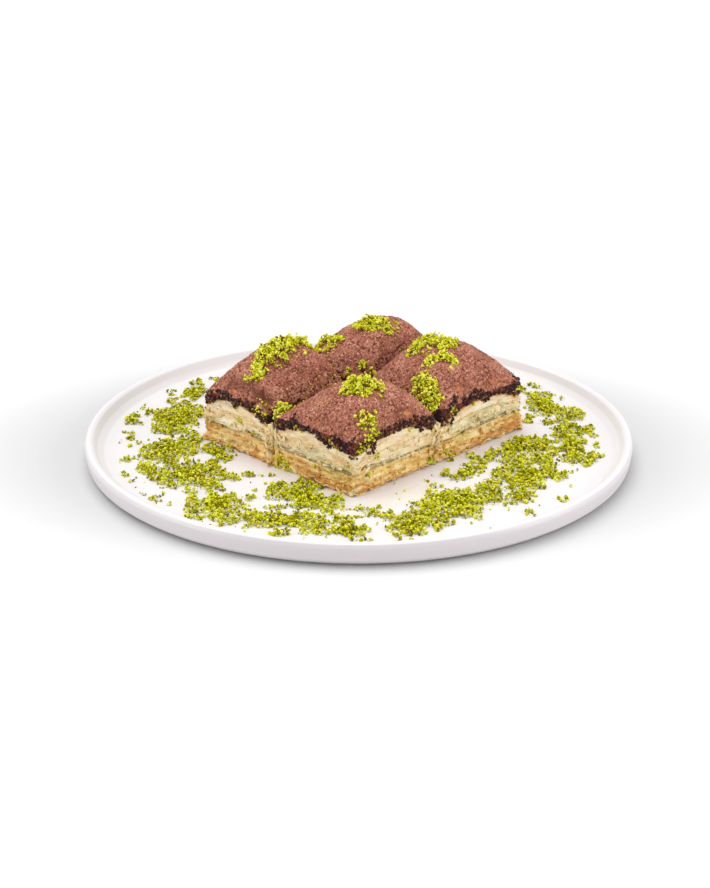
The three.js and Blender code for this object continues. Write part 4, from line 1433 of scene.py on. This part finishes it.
# %% [markdown]
# A heap of pistachio on a crust is replaced by the real thing: a shrunken copy of the heap as a
# core, hidden under its grains. A ray is dropped onto the frame's heap and another onto
# the crust for each grain, so the grains fill the heap's own outline and height, in lumps and
# hollows. A few have rolled off beside it.

# %% Grains and cores
MOUND_GRAINS_A_SQUARE_MM = 3.5
GRAIN_RADII = (0.4, 1.1)
ROLLED_OFF = 2.4
CLUMP_SPREAD = 1.09
FINER_ON_HEAPS = 1.7


def node_copy(node):
    """A merged copy of a frame node, in millimetres; the node itself isn't touched"""
    bm = bmesh.new()
    bm.from_mesh(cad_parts[node].data)
    bmesh.ops.scale(bm, verts=bm.verts, vec=(1 / MM, 1 / MM, 1 / MM))
    bmesh.ops.remove_doubles(bm, verts=bm.verts, dist=0.001)
    bmesh.ops.recalc_face_normals(bm, faces=bm.faces)
    bm.normal_update()
    return bm


def shrunken_core(bm, inwards, wide, tall):
    """Points and triangles of the heap drawn in along its normals, then narrowed and lowered"""
    bmesh.ops.triangulate(bm, faces=bm.faces)
    points = np.array([vert.co - inwards * vert.normal for vert in bm.verts])
    middle = points.mean(axis=0)
    points[:, :2] = middle[:2] + wide * (points[:, :2] - middle[:2])
    points[:, 2] = points[:, 2].min() + tall * (points[:, 2] - points[:, 2].min())
    return points, arrays_of(bm)[1]


def grain_tints(count, middle, rng):
    """Uneven greens, with one grain in forty cream or brown"""
    tints = np.clip(rng.normal(middle, 0.3, count), 0.02, 0.92)
    odd = rng.random(count)
    return np.where(odd < 0.01, 0.0, np.where(odd > 0.985, 1.0, tints))


def grain_sizes(count, rng):
    """Many small grains and a few large ones"""
    return drawn(rng, count, *GRAIN_RADII, 1.8)


def clumpiness(x, y):
    """How the ground nuts cling together: uneven at 10, 4 and 2 millimetres, about -1 to 1"""
    u, v = (np.asarray(x) + 130) / 260, (np.asarray(y) + 130) / 260
    return (0.45 * soft_noise(u, v, 24, 24, 941) + 0.62 * soft_noise(u, v, 62, 62, 942)
            + 0.45 * soft_noise(u, v, 125, 125, 943))


def grains_on_heap(tree, low, high, cover, thinner, rng):
    """Places of the grains of one heap on the crusts"""
    spots = []
    corners = (low.x - ROLLED_OFF, low.y - ROLLED_OFF), (high.x + ROLLED_OFF, high.y + ROLLED_OFF)
    area = (corners[1][0] - corners[0][0]) * (corners[1][1] - corners[0][1])
    for x, y in rng.uniform(*corners, (int(MOUND_GRAINS_A_SQUARE_MM * area), 2)):
        top = below(tree, x, y)
        base = below(CRUST_TREE, x, y)
        if base is None:
            base = low.z
        over = float(clumpiness(FINER_ON_HEAPS * x, FINER_ON_HEAPS * y)) - CLUMP_SPREAD * (0.5 - cover)
        over = over - thinner * (2 * y - high.y - low.y) / (high.y - low.y)
        if top is not None:
            rise = max(top, base) - base
            over = over + 0.09 * rise
            if over > 0:
                thick = rise * min(1.35, 0.4 + 1.7 * over) + 0.3
                spots.append((x, y, base + 0.15 + thick * rng.random() ** 0.6))
        elif over > 0:
            nearest = tree.find_nearest(Vector((x, y, base)))[3]
            if nearest < ROLLED_OFF * rng.random() ** 1.6:
                spots.append((x, y, base + 0.35))
    return np.array(spots)


print("heap helpers ready")

# %% [markdown]
# Now each heap of the frame gets its grains. The share of it that they cover differs from heap to
# heap, as on the real plate, and its core is narrowed to that share. One heap also gets thinner
# towards the back.

# %% Heaps on the crusts
MOUND_GRAIN_GROWN = 1.1
# the heap grains are painted lighter than those strewn on the plate: painted light
LIT_HEAP_TINT = 0.67
HEAP_CORE_INWARDS, HEAP_CORE_TALL = 0.8, 0.45
HEAP_COVER = {
    "back_top": 0.5, "centre": 0.16, "front_low": 0.46, "front_top": 0.55, "left_back": 0.42,
    "left_front": 0.38, "left_top": 0.45, "right_gap": 0.42, "right_mid": 0.46, "right_top": 0.52,
}
THINNER_UPWARDS = {"front_low": 1.1}

mound_nodes = sorted(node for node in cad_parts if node.startswith("pistachio_mound_"))
for index, node in enumerate(mound_nodes):
    rng = np.random.default_rng(700 + index)
    bm = node_copy(node)
    low, high = (1000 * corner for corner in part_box(node))
    spot_name = node.replace("pistachio_mound_", "")
    cover = HEAP_COVER[spot_name]
    spots = grains_on_heap(BVHTree.FromBMesh(bm), low, high, cover, THINNER_UPWARDS.get(spot_name, 0), rng)
    core = shrunken_core(bm, HEAP_CORE_INWARDS, cover, HEAP_CORE_TALL)
    bm.free()
    mesh = joined_copies(
        node + "_grains", NUT_LUMPS, spots, MOUND_GRAIN_GROWN * grain_sizes(len(spots), rng),
        grain_tints(len(spots), LIT_HEAP_TINT, rng), 720 + index, core)
    heap = finished(node.replace("pistachio_mound", "nut_heap"), mesh, NUT)
    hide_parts(node)
    print(heap.name, "grains:", len(spots), "triangles:", triangles_of(mesh))

# %% [markdown]
# The plate was strewn by hand, so the ground nuts lie in a broad, broken ring: dense in some
# places, thin in others, and in clumps everywhere. The ring is written as ovals of the plate, each
# with the share of the glaze that is covered there. A grain falls where the clumpiness is above
# what that share allows. Grains inside a drift of the frame pile up to its height over a small
# core and replace it, and all others are one piece of loose pistachio.

# %% Where the plate is strewn
GRAINS_TRIED = 165000
STREWN_RADIUS = 112.5
LEAST_COVERED = 0.03
FOOD_MARGIN = 0.2
PILE_HEIGHT = 2.2
# the grains on the plate are painted darker than those on the heaps: painted shade
SHADED_STREWN_TINT = 0.46
DRIFT_CORE = {"inwards": 0.2, "wide": 0.5, "tall": 0.4}
STREWN = [
    # middle x and y, half length, half width, turn in degrees, share covered
    (-67, 79, 15, 5, 80, 0.30), (-86, 60, 21, 10, 78, 0.50), (-84, 24, 22, 14, 82, 0.86),
    (-104, 22, 24, 6, 80, 0.45), (-106, -8, 16, 6, 95, 0.40), (-86, -12, 20, 14, 80, 0.84),
    (-76, -40, 25, 17, -58, 0.92), (-102, -32, 22, 7, 110, 0.40), (-64, -16, 13, 8, -45, 0.66),
    (-60, -70, 22, 14, -42, 0.88), (-23, -65, 25, 12, -40, 0.95), (-33, -89, 26, 14, -10, 0.92),
    (-4, -101, 16, 9, 0, 0.78), (-12, -83, 18, 9, 0, 0.72), (8, -80, 12, 7, -15, 0.68),
    (24, -91, 19, 13, 35, 0.80), (43, -71, 23, 13, 33, 0.93), (62, -60, 26, 13, 38, 0.78),
    (76, -40, 24, 16, 45, 0.92), (45, -38, 17, 8, 44, 0.56), (73, -12, 20, 10, 47, 0.88),
    (92, -14, 20, 13, 80, 0.66), (101, -12, 26, 9, 80, 0.82), (96, 12, 17, 11, 95, 0.58),
    (93, 34, 24, 15, 98, 0.95), (88, 64, 20, 10, 115, 0.70), (-48, -46, 22, 8, -45, 0.26),
    (-35, 0, 12, 6, 45, 0.10), (-54, 10, 14, 8, 80, 0.16),
]


def share_covered(x, y):
    """How much of the glaze is covered at a place, from the ovals"""
    share = np.full(np.shape(x), LEAST_COVERED)
    for middle_x, middle_y, half_length, half_width, turn, covered in STREWN:
        c, s = math.cos(math.radians(turn)), math.sin(math.radians(turn))
        along = ((x - middle_x) * c + (y - middle_y) * s) / half_length
        across = ((y - middle_y) * c - (x - middle_x) * s) / half_width
        edge = np.clip((1.25 - np.hypot(along, across)) / 0.5, 0, 1)
        share = np.maximum(share, 0.8 * covered * edge * edge * (3 - 2 * edge))
    return share


def clear_of_food(x, y):
    """True outside the block of pastry"""
    u, v = x * BLOCK_COS + y * BLOCK_SIN, y * BLOCK_COS - x * BLOCK_SIN
    outside_u = (u < U_FRONT - FOOD_MARGIN) | (u > U_BACK + FOOD_MARGIN)
    return outside_u | (v < V_FRONT - FOOD_MARGIN) | (v > V_BACK + FOOD_MARGIN)


strewn_rng = np.random.default_rng(900)
x, y = strewn_rng.uniform(-STREWN_RADIUS, STREWN_RADIUS, (2, GRAINS_TRIED))
kept = (np.hypot(x, y) < STREWN_RADIUS) & clear_of_food(x, y)
x, y = x[kept], y[kept]
over = clumpiness(x, y) - CLUMP_SPREAD * (0.5 - share_covered(x, y))
pile = np.clip(2.2 * over, 0, 1) * PILE_HEIGHT
drift_nodes = sorted(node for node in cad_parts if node.startswith("pistachio_drift_"))
drift_copies = [node_copy(node) for node in drift_nodes]
inside = np.full(len(x), -1)
for index, (node, bm) in enumerate(zip(drift_nodes, drift_copies)):
    tree = BVHTree.FromBMesh(bm)
    low, high = (1000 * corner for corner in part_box(node))
    near = np.flatnonzero((x > low.x) & (x < high.x) & (y > low.y) & (y < high.y))
    for spot in near:
        top = below(tree, x[spot], y[spot])
        if top is not None:
            rise = top - float(plate_top(math.hypot(x[spot], y[spot])))
            inside[spot] = index
            over[spot] = over[spot] + 0.32 * rise - 0.12
            pile[spot] = rise * min(1.15, max(0.25, 0.7 + over[spot]))
dense = np.where(over > 0, 0.75 + 0.4 * pile, 0)
tried_a_square_mm = GRAINS_TRIED / (2 * STREWN_RADIUS) ** 2
kept = strewn_rng.random(len(x)) * tried_a_square_mm < dense
x, y, pile, inside = x[kept], y[kept], pile[kept], inside[kept]
print("grains strewn on the plate:", len(x))

# %% [markdown]
# Now the grains get their heights and become pieces: one for each drift, over a low core that
# they hide, and one for all that lies between the drifts.

# %% Drifts and loose pistachio
def strewn_grains(name, chosen, seed, extra=None, core=None):
    """One piece out of the chosen grains on the plate"""
    rng = np.random.default_rng(seed)
    sizes = grain_sizes(len(chosen), rng)
    base = plate_top(np.hypot(x[chosen], y[chosen]))
    height = base + 0.6 * sizes + rng.random(len(chosen)) * np.maximum(pile[chosen] - 0.5 * sizes, 0)
    places = np.column_stack([x[chosen], y[chosen], height])
    if extra is not None:
        places = np.concatenate([places, extra[0]])
        sizes = np.concatenate([sizes, extra[1]])
    tints = grain_tints(len(places), SHADED_STREWN_TINT, rng)
    mesh = joined_copies(name, NUT_LUMPS, places, sizes, tints, seed + 50, core)
    piece = finished(name, mesh, NUT)
    print(name, "grains:", len(places), "triangles:", triangles_of(mesh))
    return piece


for index, (node, bm) in enumerate(zip(drift_nodes, drift_copies)):
    core = shrunken_core(bm, **DRIFT_CORE)
    bm.free()
    name = node.replace("pistachio_drift", "nut_drift")
    drift = strewn_grains(name, np.flatnonzero(inside == index), 800 + index, None, core)
    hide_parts(node)

# %% [markdown]
# Some pistachio sticks where it fell: clumps on the cut sides, sparse bits in the valleys between
# the pieces, and single yellow grains on the cocoa. They join the loose pistachio.

# %% Pistachio on the food
STUCK_CLUMPS = [
    # piece, share of the way round, height, grains, reach
    ("left", 0.515, 14.5, 22, 1.6), ("front", 0.692, 14.5, 12, 1.3), ("front", 0.663, 8.0, 16, 1.4),
    ("front", 0.395, 3.5, 60, 3.4), ("front", 0.42, 2.5, 50, 3.2), ("front", 0.60, 12.8, 5, 0.7),
    ("front", 0.505, 7.5, 7, 0.9), ("front", 0.70, 15.8, 6, 0.9), ("front", 0.86, 2.5, 30, 2.2),
    ("right", 0.672, 11.0, 6, 0.9), ("right", 0.655, 14.8, 4, 0.7), ("right", 0.64, 3.0, 24, 2.0),
    ("right", 0.72, 21.5, 8, 1.0), ("right", 0.86, 8.5, 7, 1.2), ("left", 0.555, 11.5, 5, 1.2),
    ("back", 0.10, 6.0, 14, 2.0), ("back", 0.28, 12.0, 10, 1.6), ("left", 0.30, 8.0, 16, 2.0),
    ("front", 0.655, 22.5, 34, 3.0), ("front", 0.675, 25.5, 34, 3.6), ("front", 0.645, 20.0, 14, 2.0),
    ("left", 0.58, 24.5, 18, 2.6), ("left", 0.60, 23.0, 16, 2.4), ("front", 0.385, 24.0, 14, 2.4),
    ("front", 0.46, 22.0, 8, 2.6), ("front", 0.56, 20.5, 12, 3.0), ("front", 0.80, 21.5, 8, 2.0),
    ("left", 0.50, 21.5, 6, 2.0), ("right", 0.66, 22.0, 22, 3.0), ("right", 0.86, 21.0, 6, 2.0),
]
VALLEY_GRAINS = 420
VALLEY_GRAINS_REACH = 6.0
CRUST_GRAINS = 60
STUCK_RADII = (0.35, 0.7)

stuck_rng = np.random.default_rng(950)
stuck_places, stuck_sizes = [], []
for name, share, height, count, reach in STUCK_CLUMPS:
    piece = PIECES[name]
    shares = share + stuck_rng.normal(0, 0.5 * reach, count) / (4 * sum(piece["half"]))
    heights = np.maximum(height + stuck_rng.normal(0, 0.5 * reach, count), 0.6)
    sizes = grain_sizes(count, stuck_rng)
    places, found = against_wall(piece, shares, heights, stuck_rng.uniform(-0.8, -0.1, count) * sizes)
    stuck_places.append(places)
    stuck_sizes.append(sizes[found])
valley_x, valley_y = valley_lines(stuck_rng, VALLEY_GRAINS, VALLEY_GRAINS_REACH)
patchy = clumpiness(valley_x, valley_y) > 0.05
crust_x, crust_y = stuck_rng.uniform(-50, 60, (2, CRUST_GRAINS))
for grain_x, grain_y in [*zip(valley_x[patchy], valley_y[patchy]), *zip(crust_x, crust_y)]:
    z = below(CRUST_TREE, grain_x, grain_y)
    if z is not None:
        stuck_places.append(np.array([[grain_x, grain_y, z + 0.3]]))
        stuck_sizes.append(stuck_rng.uniform(*STUCK_RADII, 1))
stuck = (np.concatenate(stuck_places), np.concatenate(stuck_sizes))
strewn_grains("loose_pistachio", np.flatnonzero(inside < 0), 901, stuck)

# %% [markdown]
# Milk has run out of the soaked pastry and lies on the glaze round the front of the block as a
# thin cream film. It is four squashed spheres with uneven outlines, glossier than the glaze.

# %% Milk film
FILM_HEIGHT = 0.16
FILM_SUNK = 0.03
FILM_POOLS = [
    # middle x and y, half length, half width, turn in degrees
    (16, -66, 27, 7, 44), (-26, -46, 26, 6, -46), (52, -30, 14, 5, 46), (2, -78, 12, 5, 0),
]


def make_milk():
    material, tree, shader = new_material("spilled_milk")
    clouds = noise(place_on(tree), 60.0, detail=2.0)
    dress(shader, Base_Color=mixed(clouds, paint(231, 225, 219), paint(236, 231, 228)),
          Roughness=clouds * 0.1 + 0.08)
    return material


film_bm = bmesh.new()
for pool_x, pool_y, half_length, half_width, turn in FILM_POOLS:
    made = bmesh.ops.create_uvsphere(film_bm, u_segments=96, v_segments=12, radius=1)["verts"]
    turn = math.radians(turn)
    for vert in made:
        around = math.atan2(vert.co.y, vert.co.x)
        uneven = 1 + 0.17 * float(wave(around, pool_x))
        vert.co.x *= half_length * uneven
        vert.co.y *= half_width * uneven
        vert.co.z *= FILM_HEIGHT * abs(vert.co.z)
    bmesh.ops.rotate(film_bm, verts=made, cent=(0, 0, 0), matrix=Matrix.Rotation(turn, 3, "Z"))
    bmesh.ops.translate(film_bm, verts=made, vec=(pool_x, pool_y, PLATE_FLOOR - FILM_SUNK))
film = finished("milk_film", mesh_from(film_bm, "milk_film"), make_milk())
print("milk film triangles:", triangles_of(film.data))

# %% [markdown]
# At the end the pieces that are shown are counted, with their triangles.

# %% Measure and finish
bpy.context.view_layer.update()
shown = [item for item in scene.objects if item.type == "MESH" and not item.hide_render]
print("pieces shown:", len(shown), "triangles:", sum(triangles_of(item.data) for item in shown))
